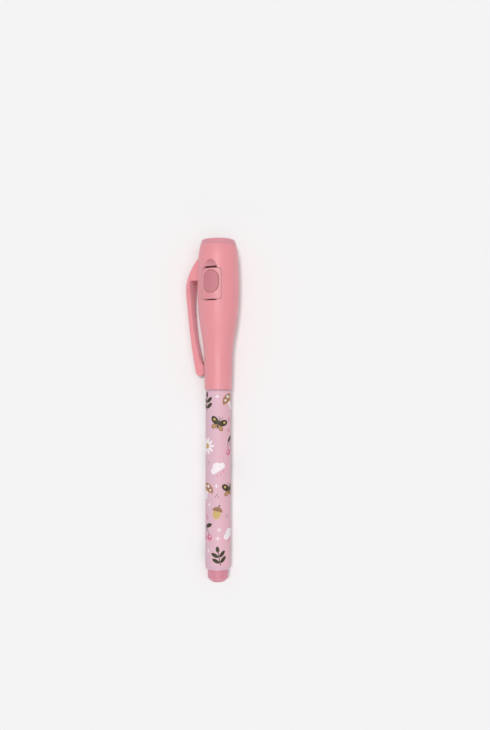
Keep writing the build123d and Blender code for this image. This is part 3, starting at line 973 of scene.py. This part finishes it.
@dataclass(frozen=True)
class PrintedFilm(Finish):
    """Pale film round the barrel, printed with small garden drawings in staggered rows."""

    ground: Colour
    ground_lit_tint: Colour
    cloud_mm: float = 16.0
    lit_tint_swing: float = 0.6
    columns: int = 3
    rows: int = 8
    row_stagger: float = 0.5
    row_step: float = 3.0
    column_step: float = 2.0
    cell_seed: float = 3.7
    scale: float = 1.8
    lean: float = 0.6
    wander_mm: float = 0.9
    small_columns: int = 7
    small_rows: int = 16
    small_seed: float = 9.1
    small_share: float = 0.45
    small_wander_mm: float = 1.6
    clear_mm: float = 4.1
    roughness: float = 0.52
    reflection: float = 0.3
    varnish: float = 0.08
    varnish_roughness: float = 0.4
    grain_mm: float = 0.3
    grain_depth_mm: float = 0.003
    grain_gloss: float = 0.1
    grain_varnish: float = 0.06
    edge_mm: float = 0.08

    def make(self, name: str, axes: PenAxes) -> bpy.types.Material:
        """Makes the printed film as a material.

        Args:
            name: the material's name.
            axes: the pen's axes.

        Returns:
            The finished material.
        """
        shade = Shade(bpy.data.materials.new(name))
        round_mm, along_mm = self.unrolled(shade, axes)
        colour = self.ground_with_lit_tint(shade, axes, round_mm)
        cell, kind, reach = self.cell(shade, axes, round_mm, along_mm)
        for motif in Motif:
            chosen = abs(kind - float(motif.value)) < 0.5
            for mask, ink in self.draw(motif, cell):
                colour = shade.paint(colour, ink.value, mask * chosen)
        for mask, ink in self.small_marks(shade, axes, round_mm, along_mm):
            colour = shade.paint(colour, ink.value, mask * (reach > self.clear_mm))
        grain = shade.noise(shade.place(), self.grain_mm * MM)
        fixed = {
            "Specular IOR Level": self.reflection,
            "Coat Roughness": self.varnish_roughness,
        }
        varying = {
            "Base Color": colour,
            "Roughness": self.roughness + grain.centred() * self.grain_gloss,
            "Coat Weight": self.varnish + grain.centred() * self.grain_varnish,
            "Normal": shade.bump(grain, self.grain_depth_mm, shade.rounded(self.edge_mm)),
        }
        return shade.surface(fixed, varying)

    def unrolled(self, shade: Shade, axes: PenAxes) -> tuple[Field, Field]:
        """Place on the film laid flat.

        Args:
            shade: the tree to work in.
            axes: the pen's axes.

        Returns:
            Millimetres round the barrel from its upper line, and along it from its lower end.
        """
        here = shade.vector("SUBTRACT", {0: shade.place(), 1: axes.middle})
        upper = Vector((0.0, 0.0, 1.0))
        upper = (upper - axes.along * upper.dot(axes.along)).normalized()
        side = axes.along.cross(upper)
        up, right, along = (
            shade.vector("DOT_PRODUCT", {0: here, 1: way / MM}, 1)
            for way in (upper, side, axes.along)
        )
        angle = shade.math("ARCTAN2", right, up)
        return angle * (axes.grip_radius / MM), along + axes.grip_length / MM / 2

    def ground_with_lit_tint(self, shade: Shade, axes: PenAxes, round_mm: Field) -> Field:
        """The film's pale wash, with tone that differs at random and painted light: one side of the barrel is
        painted warmer than the other.

        Args:
            shade: the tree to work in.
            axes: the pen's axes.
            round_mm: millimetres round the barrel.

        Returns:
            The wash's colour.
        """
        cloud = shade.noise(shade.place(), self.cloud_mm * MM)
        swing = shade.math("SINE", round_mm / (axes.grip_radius / MM))
        # Painted light by the side of the barrel, plus cloud tone that differs at random.
        cloud_and_lit_tint = (swing * self.lit_tint_swing + cloud).clip()
        return shade.paint(self.ground, self.ground_lit_tint, cloud_and_lit_tint)

    def cell(
        self, shade: Shade, axes: PenAxes, round_mm: Field, along_mm: Field,
    ) -> tuple[Drawing, Field, Field]:
        """Splits the film into staggered cells with one drawing each.

        Args:
            shade: the tree to work in.
            axes: the pen's axes.
            round_mm: millimetres round the barrel.
            along_mm: millimetres along it.

        Returns:
            The cell's drawing, turned its own way, the number of its motif, and the distance
            to its middle.
        """
        width = 2 * math.pi * axes.grip_radius / MM / self.columns
        height = axes.grip_length / MM / self.rows
        row = shade.math("FLOOR", along_mm / height)
        steps = round_mm / width + (row % 2.0) * self.row_stagger + 0.5
        column = shade.math("FLOOR", steps) % float(self.columns)
        turn, shift_x, shift_y = self.chances(shade, row, column, self.cell_seed)
        x = (steps % 1.0).centred() * width + shift_x.centred() * self.wander_mm
        y = (along_mm / height - row).centred() * height + shift_y.centred() * self.wander_mm
        kind = (row * self.row_step + column * self.column_step) % float(len(Motif))
        here = Drawing(shade, x, y)
        drawing = here.spun(turn.centred() * 2 * self.lean).enlarged(self.scale)
        return drawing, kind, shade.hypot(x, y)

    def chances(
        self, shade: Shade, row: Field, column: Field, seed: float,
    ) -> tuple[Field, Field, Field]:
        """Draws the chance numbers that belong to a cell.

        Args:
            shade: the tree to work in.
            row: the cell's row.
            column: the cell's column.
            seed: sets one kind of cell apart from another.

        Returns:
            Three numbers from zero to one.
        """
        place = shade.pick("ShaderNodeCombineXYZ", {}, {0: row + 0.5, 1: column + 0.5, 2: seed})
        settings = {"noise_dimensions": "3D"}
        drawn = shade.pick("ShaderNodeTexWhiteNoise", settings, {"Vector": place}, "Color")
        parts = shade.add("ShaderNodeSeparateColor", {}, {0: drawn}).outputs
        return Field(shade, parts[0]), Field(shade, parts[1]), Field(shade, parts[2])

    def small_marks(self, shade: Shade, axes: PenAxes, round_mm: Field, along_mm: Field) -> Layers:
        """Dots and small blossoms scattered between the drawings.

        Args:
            shade: the tree to work in.
            axes: the pen's axes.
            round_mm: millimetres round the barrel.
            along_mm: millimetres along it.

        Returns:
            The marks' masks and inks.
        """
        width = 2 * math.pi * axes.grip_radius / MM / self.small_columns
        height = axes.grip_length / MM / self.small_rows
        row = shade.math("FLOOR", along_mm / height)
        steps = round_mm / width + self.small_columns / 2
        column = shade.math("FLOOR", steps) % float(self.small_columns)
        pick, shift_x, shift_y = self.chances(shade, row, column, self.small_seed)
        wander = self.small_wander_mm
        x = (steps % 1.0).centred() * width + shift_x.centred() * wander
        y = (along_mm / height - row).centred() * height + shift_y.centred() * wander
        mark = Drawing(shade, x, y)
        dots = mark.join(
            mark.disc(0, 0.5, 0.24), mark.disc(-0.6, -0.34, 0.2), mark.disc(0.62, -0.38, 0.22),
        )
        blossom = mark.fanned(5).oval(0.56, 0, 0.42, 0.28)
        star = mark.fanned(4).oval(0.4, 0, 0.52, 0.17)
        third = self.small_share / 3
        first, second = pick < third, (pick > third) * (pick < 2 * third)
        last = (pick > 2 * third) * (pick < self.small_share)
        return [
            (mark.fill(dots) * first, Ink.OLIVE),
            (mark.fill(blossom) * second, Ink.ROSE),
            (mark.fill(mark.disc(0, 0, 0.24)) * second, Ink.WHITE),
            (mark.fill(star) * last, Ink.WHITE),
        ]

    def draw(self, motif: Motif, cell: Drawing) -> Layers:
        """Draws one motif in the middle of a cell.

        Args:
            motif: which drawing.
            cell: the cell's own coordinates.

        Returns:
            The drawing's masks and inks, the lowest first.
        """
        makers = {
            Motif.SPRIG: self.sprig,
            Motif.DAISY: self.daisy,
            Motif.TOADSTOOL: self.toadstool,
            Motif.BERRIES: self.berries,
            Motif.BUTTERFLY: self.butterfly,
            Motif.CLOUD: self.cloud,
            Motif.ACORN: self.acorn,
        }
        return makers[motif](cell)

    def sprig(self, cell: Drawing) -> Layers:
        """A stem with two pairs of leaves and one at its end.

        Args:
            cell: the cell's own coordinates.

        Returns:
            The masks and inks, the lowest first.
        """
        half = cell.mirrored()
        pairs = half.join(*(half.oval(0.86, y, 0.94, 0.42, 38) for y in (0.3, -1.0)))
        leaves = cell.join(pairs, cell.oval(0, 1.5, 0.42, 0.7))
        stem = cell.stroke(0, -2.15, 0, 1.0, 0.2)
        return [(cell.fill(cell.join(leaves, stem)), Ink.OLIVE)]

    def daisy(self, cell: Drawing) -> Layers:
        """Ten narrow petals round a button.

        Args:
            cell: the cell's own coordinates.

        Returns:
            The masks and inks, the lowest first.
        """
        petals = cell.fanned(10).oval(1.25, 0, 0.78, 0.3)
        return [
            (cell.fill(petals), Ink.WHITE),
            (cell.fill(cell.disc(0, 0, 0.66)), Ink.MUSTARD),
            (cell.fill(cell.fanned(6).disc(0.36, 0, 0.09)), Ink.BROWN),
        ]

    def toadstool(self, cell: Drawing) -> Layers:
        """A spotted cap on a pale stalk.

        Args:
            cell: the cell's own coordinates.

        Returns:
            The masks and inks, the lowest first.
        """
        below = 0.1 - cell.y
        cap = cell.common(cell.oval(0, 0.1, 1.85, 1.75), below)
        spots = cell.join(
            cell.disc(-0.85, 0.8, 0.27), cell.disc(0.15, 1.2, 0.34), cell.disc(1.0, 0.62, 0.24),
        )
        stalk = cell.join(cell.stroke(0, 0.1, 0, -1.5, 0.8), cell.oval(0, -1.6, 0.62, 0.42))
        return [
            (cell.fill(stalk), Ink.WHITE),
            (cell.fill(cell.stroke(-1.2, 0.06, 1.2, 0.06, 0.3)), Ink.MUSTARD),
            (cell.fill(cap), Ink.BROWN),
            (cell.fill(spots), Ink.WHITE),
        ]

    def berries(self, cell: Drawing) -> Layers:
        """Two berries on bent stalks with a leaf.

        Args:
            cell: the cell's own coordinates.

        Returns:
            The masks and inks, the lowest first.
        """
        pair = cell.mirrored()
        return [
            (cell.fill(pair.stroke(0.85, -0.7, 0.05, 1.5, 0.18)), Ink.OLIVE),
            (cell.fill(cell.oval(0.9, 1.7, 1.0, 0.48, 18)), Ink.OLIVE),
            (cell.fill(pair.disc(0.85, -1.05, 0.72)), Ink.ROSE),
            (cell.fill(pair.disc(1.05, -0.82, 0.16)), Ink.WHITE),
        ]

    def butterfly(self, cell: Drawing) -> Layers:
        """Two pairs of wings, a body and feelers.

        Args:
            cell: the cell's own coordinates.

        Returns:
            The masks and inks, the lowest first.
        """
        half = cell.mirrored()
        spots = cell.join(half.disc(1.25, 0.65, 0.28), half.disc(0.8, -0.85, 0.2))
        feelers = half.stroke(0.04, 0.95, 0.55, 1.75, 0.1)
        body = cell.join(cell.oval(0, -0.1, 0.17, 1.15), feelers)
        return [
            (cell.fill(half.oval(0.75, -0.8, 0.82, 0.54, -42)), Ink.BROWN),
            (cell.fill(half.oval(1.05, 0.5, 1.1, 0.72, 32)), Ink.OLIVE),
            (cell.fill(spots), Ink.MUSTARD),
            (cell.fill(body), Ink.OLIVE),
        ]

    def cloud(self, cell: Drawing) -> Layers:
        """A round-topped cloud with drops below.

        Args:
            cell: the cell's own coordinates.

        Returns:
            The masks and inks, the lowest first.
        """
        lobes = cell.join(
            cell.disc(-1.1, 0.1, 0.72), cell.disc(0, 0.5, 1.05), cell.disc(1.15, 0.15, 0.75),
        )
        base = cell.stroke(-1.1, -0.2, 1.1, -0.2, 0.8)
        body = cell.common(cell.join(lobes, base), -0.5 - cell.y)
        drops = cell.join(*(cell.stroke(x, -1.0, x - 0.12, -1.5, 0.16) for x in (-0.9, 0.0, 0.9)))
        curl = cell.common(abs(cell.disc(-0.1, 0.4, 0.62)) - 0.06, 0.1 - cell.y)
        return [
            (cell.fill(drops), Ink.ROSE),
            (cell.fill(body), Ink.WHITE),
            (cell.fill(curl), Ink.LILAC),
        ]

    def acorn(self, cell: Drawing) -> Layers:
        """A nut in its scaly cup.

        Args:
            cell: the cell's own coordinates.

        Returns:
            The masks and inks, the lowest first.
        """
        cup = cell.common(cell.oval(0, 0.2, 1.2, 0.95), 0.1 - cell.y)
        nut = cell.join(cell.oval(0, -0.45, 0.92, 1.2), cell.disc(0, -1.6, 0.14))
        slants = (cell.x + cell.y, cell.x - cell.y)
        rising, falling = (cell.shade.math("SINE", slant * 7.0) for slant in slants)
        scales = cell.common(cup + 0.12, 0.55 - rising * falling)
        return [
            (cell.fill(nut), Ink.MUSTARD),
            (cell.fill(cell.stroke(0, 1.0, 0.2, 1.6, 0.24)), Ink.OLIVE),
            (cell.fill(cup), Ink.BROWN),
            (cell.fill(scales), Ink.OLIVE),
        ]


@dataclass(frozen=True)
class PaperFloor(Finish):
    """Plain pale studio paper."""

    colour: Colour
    shaded: Colour
    roughness: float = 0.9
    tooth_mm: float = 0.8
    tooth_share: float = 0.3
    tooth_gloss: float = 0.05

    def make(self, name: str, axes: PenAxes) -> bpy.types.Material:
        """Makes the paper as a material.

        Args:
            name: the material's name.
            axes: the pen's axes.

        Returns:
            The finished material.
        """
        shade = Shade(bpy.data.materials.new(name))
        tooth = shade.noise(shade.place(), self.tooth_mm * MM)
        varying = {
            "Base Color": shade.paint(self.colour, self.shaded, tooth * self.tooth_share),
            "Roughness": self.roughness + tooth.centred() * self.tooth_gloss,
        }
        return shade.surface({"Specular IOR Level": 0.0}, varying)


class Assembly:
    """A sub-assembly: it dresses its nodes and adds its own pieces."""

    def dress(self, axes: PenAxes, finishes: Mapping[str, Finish]) -> None:
        """Gives each node of the sub-assembly its finish.

        Args:
            axes: the pen's axes.
            finishes: node names with their finishes.
        """
        made: dict[Finish, bpy.types.Material] = {}
        for node, finish in finishes.items():
            if finish not in made:
                made[finish] = finish.make(f"{node}_finish", axes)
            data = frame["nodes"][node].data
            data.materials.clear()
            data.materials.append(made[finish])
            log.info("dressed %s", node)

    def piece(
        self, name: str, mesh: bmesh.types.BMesh, material: bpy.types.Material,
    ) -> bpy.types.Object:
        """Turns a finished mesh into a piece of the scene.

        Args:
            name: the piece's name.
            mesh: its mesh in the row frame, which is freed.
            material: its finish.

        Returns:
            The new object.
        """
        bmesh.ops.recalc_face_normals(mesh, faces=mesh.faces)
        data = bpy.data.meshes.new(name)
        mesh.to_mesh(data)
        mesh.free()
        data.materials.append(material)
        data.shade_smooth()
        made = bpy.data.objects.new(name, data)
        bpy.context.scene.collection.objects.link(made)
        log.info("built %s", name)
        return made

    def lathe(
        self, axes: PenAxes, centre: Vector, profile: Sequence[tuple[float, float]], sides: int,
    ) -> bmesh.types.BMesh:
        """Turns a profile about a line along the pen.

        Args:
            axes: the pen's axes.
            centre: the turned piece's middle, across, inward and along.
            profile: radius and height of each point; the ends may lie on the line.
            sides: how many steps round.

        Returns:
            The closed mesh.
        """
        mesh = bmesh.new()
        rings = []
        for radius, height in profile:
            ring = []
            for step in range(sides if radius else 1):
                turn = 2 * math.pi * step / sides
                x = centre.x + radius * math.cos(turn)
                y = centre.y + radius * math.sin(turn)
                ring.append(mesh.verts.new(axes.point(x, y, centre.z + height)))
            rings.append(ring)
        for lower, upper in zip(rings, rings[1:]):
            for step in range(sides):
                around = [lower[step % len(lower)], lower[(step + 1) % len(lower)]]
                around += [upper[(step + 1) % len(upper)], upper[step % len(upper)]]
                mesh.faces.new(list(dict.fromkeys(around)))
        return mesh


@dataclass
class WritingPen(Assembly):
    """The pen itself: printed barrel, tail plug, grip section, nib and ink reservoir."""

    film: PrintedFilm = PrintedFilm(
        ground=display(222, 184, 199), ground_lit_tint=display(230, 182, 194),
    )
    barrel: MouldedPlastic = MouldedPlastic(
        colour=display(228, 190, 205), deep=display(222, 180, 197), pale=display(240, 214, 223),
        shadow=display(190, 140, 160), roughness=0.34,
    )
    plug: MouldedPlastic = MouldedPlastic(
        colour=display(218, 145, 161), deep=display(211, 137, 154), pale=display(230, 172, 184),
        shadow=display(158, 82, 100),
    )
    section: MouldedPlastic = MouldedPlastic(
        colour=display(238, 234, 232), deep=display(230, 226, 224), pale=display(247, 245, 244),
        shadow=display(190, 184, 180), roughness=0.32,
    )
    nib: BondedFibre = BondedFibre(colour=display(240, 240, 236), dark=display(212, 211, 204))
    reservoir: BondedFibre = BondedFibre(
        colour=display(238, 238, 233), dark=display(205, 205, 200),
        strand_mm=0.16, strand_length_mm=6.0,
    )
    wrap: WrapFilm = WrapFilm(colour=display(240, 240, 240), haze=display(226, 228, 230))

    def build(self, axes: PenAxes) -> None:
        """Dresses the pen's nodes.

        Args:
            axes: the pen's axes.
        """
        self.dress(axes, {
            "barrel": self.barrel,
            "print_sleeve": self.film,
            "tail_plug": self.plug,
            "grip_section": self.section,
            "nib": self.nib,
            "ink_reservoir": self.reservoir,
            "reservoir_wrap": self.wrap,
        })


@dataclass
class TorchCap(Assembly):
    """The cap's mouldings: shell with clip, door, button, lamp ring, inner cap and cradle."""

    shell: MouldedPlastic = CapPlastic(
        colour=CAP_PINK, deep=CAP_PINK_DEEP, pale=CAP_PINK_EDGE_HIGHLIGHT,
        shadow=display(150, 78, 90), hollow_share=0.3, translucence=0.35,
    )
    door: MouldedPlastic = SlitPlastic(
        colour=display(229, 151, 158), deep=display(222, 144, 152), pale=display(238, 168, 174),
        shadow=display(190, 112, 122), edge_mm=0.1, hollow_share=0.1, translucence=0.4,
    )
    # Painted highlight: the pad's rounded rim is painted wholly in its pale colour.
    button: MouldedPlastic = MouldedPlastic(
        colour=display(207, 133, 142), deep=display(202, 128, 137), pale=display(244, 184, 190),
        shadow=display(172, 98, 110), roughness=0.56, edge_mm=0.2, edge_highlight_share=1.0, bloom=0.0,
    )
    ring: MouldedPlastic = MouldedPlastic(
        colour=display(223, 154, 166), deep=display(216, 147, 159), pale=display(236, 174, 184),
        shadow=display(150, 74, 88),
    )
    # Painted shade: the cradle is painted towards its dark shadow colour where the door and the shell close round
    # it.
    cradle: MouldedPlastic = MouldedPlastic(
        colour=CAP_PINK, deep=CAP_PINK_DEEP, pale=CAP_PINK_EDGE_HIGHLIGHT,
        shadow=display(122, 38, 50), hollow_mm=6.0, hollow_share=1.1, hollow_own=False,
    )
    inner: MouldedPlastic = MouldedPlastic(
        colour=display(232, 231, 228), deep=display(224, 223, 220), pale=display(244, 243, 241),
        shadow=display(186, 184, 180), roughness=0.5,
    )

    def build(self, axes: PenAxes) -> None:
        """Dresses the cap's mouldings.

        Args:
            axes: the pen's axes.
        """
        self.dress(axes, {
            "cap_shell": self.shell,
            "battery_door": self.door,
            "push_button": self.button,
            "nose_ring": self.ring,
            "inner_cap": self.inner,
            "cell_cradle": self.cradle,
        })


@dataclass
class LampWorks(Assembly):
    """The torch's works: LED, cells, spring and switch leaf."""

    leaf_thickness: float = 0.2 * MM
    leaf_root_fall: float = 0.2 * MM
    leaf_tip_fall: float = 0.3 * MM
    leaf_end: float = 0.025 * MM
    leaf_bend: float = 0.5 * MM
    leaf_close: float = 0.01
    leaf_root_steps: int = 6
    leaf_crown_steps: int = 8
    leaf_columns: int = 14
    leaf_sharp_degrees: float = 40.0
    dimple_radius: float = 0.8 * MM
    dimple_depth: float = 0.14 * MM
    cup_radius: float = 0.62 * MM
    cup_height: float = 0.5 * MM
    cup_offset: float = 0.3 * MM
    cup_foot: float = 0.8
    cup_lip: float = 0.88
    cup_well: float = 0.5
    cup_floor: float = 0.35
    cup_sides: int = 32
    chip_side: float = 0.32 * MM
    chip_height: float = 0.12 * MM
    chip_shoulder: float = 0.8
    chip_top: float = 0.85
    chip_sides: int = 4
    steel: PlatedMetal = PlatedMetal(
        colour=display(214, 213, 210), dull=display(186, 184, 180), lay=Lay.ALONG, roughness=0.48,
    )
    tin: PlatedMetal = PlatedMetal(
        colour=display(205, 206, 207), dull=display(172, 173, 174), lay=Lay.ALONG, roughness=0.46,
    )
    brass: PlatedMetal = PlatedMetal(
        colour=display(219, 186, 112), dull=display(190, 152, 84), lay=Lay.ALONG, roughness=0.54,
    )
    can: CellCan = CellCan(
        colour=display(216, 216, 214), dull=display(188, 187, 184), lay=Lay.ROUND, roughness=0.4,
    )
    lens: ClearResin = ClearResin(colour=display(246, 244, 252), tint=display(232, 226, 250))
    chip: PlatedMetal = PlatedMetal(
        colour=display(226, 204, 150), dull=display(200, 176, 120), lay=Lay.ROUND,
    )

    def build(self, axes: PenAxes) -> None:
        """Dresses the works and builds the leaf, the lamp's reflector cup and its chip.

        Args:
            axes: the pen's axes.
        """
        cells = {node: self.can for node in ("button_cell_1", "button_cell_2", "button_cell_3")}
        self.dress(axes, {
            "uv_led": self.lens,
            "led_cathode_lead": self.tin,
            "led_anode_lead": self.tin,
            "cell_spring": self.steel,
            "switch_leaf": self.brass,
            **cells,
        })
        self.build_leaf(axes)
        self.build_lamp(axes)

    def leaf_path(self, axes: PenAxes) -> list[tuple[float, float]]:
        """Middle line of the switch leaf: root, bend, crown under the button, free end.

        Args:
            axes: the pen's axes.

        Returns:
            Inward and along places from the root to the free end.
        """
        low, high = axes.extent("switch_leaf")
        half = self.leaf_thickness / 2
        crown = (low.y + half, self.crown_along(axes))
        root_along = high.z - half
        bend = (crown[0] + self.leaf_root_fall, root_along)
        tip = (crown[0] + self.leaf_tip_fall, low.z + self.leaf_end)
        path = [(high.y, root_along), (bend[0] + self.leaf_bend, root_along)]
        path += self.eased(path[-1], bend, crown, self.leaf_root_steps)
        path += self.eased(bend, crown, tip, self.leaf_crown_steps)
        path.append(tip)
        return self.divided(path, self.leaf_bend / 2)

    def crown_along(self, axes: PenAxes) -> float:
        """Place along the pen of the leaf's crown, under the button's middle."""
        low, high = axes.extent("push_button")
        return (low.z + high.z) / 2

    def eased(
        self,
        before: tuple[float, float],
        corner: tuple[float, float],
        after: tuple[float, float],
        steps: int,
    ) -> list[tuple[float, float]]:
        """Rounds one corner of the leaf's line within its bend's reach.

        Args:
            before: the place before the corner.
            corner: the corner.
            after: the place after it.
            steps: how many steps the round has.

        Returns:
            The round's places.
        """
        start, middle, end = Vector(before), Vector(corner), Vector(after)
        reach = min(self.leaf_bend, (start - middle).length)
        first = middle + (start - middle).normalized() * reach
        last = middle + (end - middle).normalized() * self.leaf_bend
        places = []
        for step in range(steps + 1):
            share = step / steps
            place = first.lerp(middle, share).lerp(middle.lerp(last, share), share)
            places.append((place.x, place.y))
        return places

    def divided(
        self, path: Sequence[tuple[float, float]], step: float,
    ) -> list[tuple[float, float]]:
        """Cuts the long runs of a line.

        Args:
            path: the line's places; one that nearly repeats the last is left out.
            step: about how long a run may be.

        Returns:
            The places, with new ones on the long runs.
        """
        places = [path[0]]
        for before, after in zip(path, path[1:]):
            run = math.dist(before, after)
            if run < step * self.leaf_close:
                continue
            count = max(1, round(run / step))
            for part in range(1, count + 1):
                places.append(tuple(Vector(before).lerp(Vector(after), part / count)))
        return places

    def build_leaf(self, axes: PenAxes) -> None:
        """Builds the switch leaf as a bent strip with a pressed dimple.

        Args:
            axes: the pen's axes.
        """
        low, high = axes.extent("switch_leaf")
        brass = frame["nodes"]["switch_leaf"].data.materials[0]
        leaf = self.piece("switch_leaf_strip", self.leaf_mesh(axes), brass)
        split = leaf.modifiers.new("sharp_edges", "EDGE_SPLIT")
        split.split_angle = math.radians(self.leaf_sharp_degrees)
        press = next(joint for joint in frame["joints"] if joint["name"] == "button_press")
        travel = press["range_m"][1]
        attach(leaf, CAP_BODY)
        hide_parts("switch_leaf")
        axes.point(0, high.y, high.z)
        1 - travel / (high.y - low.y)
        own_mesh(leaf)

    def leaf_mesh(self, axes: PenAxes) -> bmesh.types.BMesh:
        """Sweeps the leaf's section along its line.

        Args:
            axes: the pen's axes.

        Returns:
            The strip's closed mesh.
        """
        mesh = bmesh.new()
        rings = self.leaf_rings(axes, mesh)
        count = len(rings[0])
        for first, second in zip(rings, rings[1:]):
            for step in range(count):
                onward = (step + 1) % count
                mesh.faces.new([first[step], first[onward], second[onward], second[step]])
        for ring in (rings[0], rings[-1]):
            for step in range(self.leaf_columns):
                back = count - 1 - step
                mesh.faces.new([ring[step], ring[step + 1], ring[back - 1], ring[back]])
        return mesh

    def leaf_rings(
        self, axes: PenAxes, mesh: bmesh.types.BMesh,
    ) -> list[list[bmesh.types.BMVert]]:
        """Adds the strip's vertices, one ring at each place of the leaf's line.

        Args:
            axes: the pen's axes.
            mesh: the mesh that takes them.

        Returns:
            The rings from the root to the free end: each has the outer side, then the inner one.
        """
        low, high = axes.extent("switch_leaf")
        middle = self.crown_along(axes)
        path = [Vector(place) for place in self.leaf_path(axes)]
        rings = []
        for index, place in enumerate(path):
            before, after = path[max(index - 1, 0)], path[min(index + 1, len(path) - 1)]
            run = (after - before).normalized()
            out = Vector((run.y, -run.x)) * self.leaf_thickness / 2
            ring = []
            for side in (1, -1):
                spot = place + out * side
                for step in range(self.leaf_columns + 1)[::side]:
                    across = low.x + (high.x - low.x) * step / self.leaf_columns
                    inward = spot.x + self.dimple(across, place.y - middle)
                    ring.append(mesh.verts.new(axes.point(across, inward, spot.y)))
            rings.append(ring)
        return rings

    def dimple(self, across: float, along: float) -> float:
        """How deep the contact dimple is pressed, this far from its middle."""
        reach = math.hypot(across, along) / self.dimple_radius
        return self.dimple_depth * (1 - reach * reach) ** 2 if reach < 1 else 0.0

    def build_lamp(self, axes: PenAxes) -> None:
        """Builds the reflector cup on the lamp's frame and the chip in it.

        Args:
            axes: the pen's axes.
        """
        _, top = axes.extent("led_cathode_lead")
        seat = Vector((0.0, self.cup_offset, top.z))
        radius, height = self.cup_radius, self.cup_height
        floor = height * self.cup_floor
        cup = self.lathe(axes, seat, [
            (0, 0),
            (radius * self.cup_foot, 0),
            (radius, height),
            (radius * self.cup_lip, height),
            (radius * self.cup_well, floor),
            (0, floor),
        ], self.cup_sides)
        tin = frame["nodes"]["led_cathode_lead"].data.materials[0]
        made = self.piece("reflector_cup", cup, tin)
        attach(made, CAP_BODY)
        half, tall = self.chip_side / 2, self.chip_height
        chip = self.lathe(axes, seat + Vector((0, 0, floor)), [
            (0, 0),
            (half, 0),
            (half, tall * self.chip_shoulder),
            (half * self.chip_top, tall),
            (0, tall),
        ], self.chip_sides)
        made = self.piece("lamp_chip", chip, self.chip.make("lamp_chip_finish", axes))
        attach(made, CAP_BODY)


@dataclass(frozen=True)
class SoftLamp:
    """One broad lamp far above the pen.

    strength is its light on a surface that faces it, way is where its light goes, and degrees
    is how broad it looks from the pen.
    """

    name: str
    strength: float
    way: tuple[float, float, float]
    degrees: float

    def build(self) -> None:
        """Adds the lamp to the scene."""
        data = bpy.data.lights.new(self.name, "SUN")
        data.energy = self.strength
        data.angle = math.radians(self.degrees)
        lamp = bpy.data.objects.new(self.name, data)
        lamp.rotation_mode = "QUATERNION"
        lamp.rotation_quaternion = Vector(self.way).to_track_quat("-Z", "Y")
        bpy.context.scene.collection.objects.link(lamp)


@dataclass
class Studio:
    """Pale floor, soft light and the camera above the pen."""

    floor_half: float = 4.0
    floor_steps: int = 8
    lens: float = 37.0
    camera_height: float = 0.315
    camera_ahead: float = 0.0019
    below_pixel: tuple[float, float] = (218.2, 405.0)
    sky: float = 0.41
    backdrop: float = 0.913
    key: SoftLamp = SoftLamp("key_lamp", 1.15, (0.13, -0.12, -1.0), 10.0)
    fill: SoftLamp = SoftLamp("fill_lamp", 0.7, (-0.1, 0.08, -1.0), 46.0)
    paper: PaperFloor = PaperFloor(colour=(0.915, 0.915, 0.915, 1.0), shaded=(0.9, 0.9, 0.9, 1.0))

    def build(self, axes: PenAxes) -> None:
        """Builds the floor, the light and the camera.

        Args:
            axes: the pen's axes.
        """
        bpy.context.scene.view_settings.view_transform = "Standard"
        self.build_floor(axes)
        self.build_sky()
        self.key.build()
        self.fill.build()
        self.build_camera(axes)

    def build_floor(self, axes: PenAxes) -> None:
        """Lays the paper under the pen.

        Args:
            axes: the pen's axes.
        """
        mesh = bmesh.new()
        steps = self.floor_steps
        bmesh.ops.create_grid(mesh, x_segments=steps, y_segments=steps, size=self.floor_half)
        data = bpy.data.meshes.new("floor")
        mesh.to_mesh(data)
        mesh.free()
        data.materials.append(self.paper.make("floor_paper", axes))
        floor = bpy.data.objects.new("floor", data)
        floor.location.z = CAD_BOX[0].z
        bpy.context.scene.collection.objects.link(floor)

    def build_sky(self) -> None:
        """Surrounds the scene with soft light, which cameras and mirrors see as a pale backdrop."""
        world = bpy.data.worlds.new("studio")
        bpy.context.scene.world = world
        shade = Shade(world)
        rays = shade.add("ShaderNodeLightPath", {}, {})
        camera, glossy, clear = (
            Field(shade, rays.outputs[f"Is {way} Ray"])
            for way in ("Camera", "Glossy", "Transmission")
        )
        seen = (camera + glossy + clear).clip()
        light, backdrop = (
            shade.pick("ShaderNodeBackground", {}, {"Color": PLAIN_WHITE, "Strength": strength})
            for strength in (self.sky, self.backdrop)
        )
        mixed = shade.pick("ShaderNodeMixShader", {}, {0: seen, 1: light, 2: backdrop})
        shade.add("ShaderNodeOutputWorld", {}, {"Surface": mixed})

    def build_camera(self, axes: PenAxes) -> None:
        """Hangs the camera above the pen, turned so that the point below it shows at its pixel.

        Args:
            axes: the pen's axes.
        """
        data = bpy.data.cameras.new("camera")
        data.lens = self.lens
        data.dof.use_dof = False
        camera = bpy.data.objects.new("camera", data)
        bpy.context.scene.collection.objects.link(camera)
        bpy.context.scene.camera = camera
        middle = (CAD_BOX[0].y + CAD_BOX[1].y) / 2 + self.camera_ahead
        below = axes.middle + axes.along * ((middle - axes.middle.y) / axes.along.y)
        camera.location = below + Vector((0, 0, self.camera_height))
        focal = self.lens / data.sensor_width * IMAGE_HEIGHT
        column, row = self.below_pixel
        ray = Vector((column - IMAGE_WIDTH / 2, IMAGE_HEIGHT / 2 - row, -focal))
        camera.rotation_mode = "QUATERNION"
        camera.rotation_quaternion = ray.rotation_difference(Vector((0, 0, -1)))


def main() -> None:
    """Builds and dresses the pen, then its studio."""
    logging.basicConfig(level=logging.INFO, format="%(message)s")
    axes = PenAxes.from_record(frame["record"])
    for part in (WritingPen(), TorchCap(), LampWorks(), Studio()):
        part.build(axes)
        log.info("finished %s", type(part).__name__)


if __name__ == "__main__":
    main()
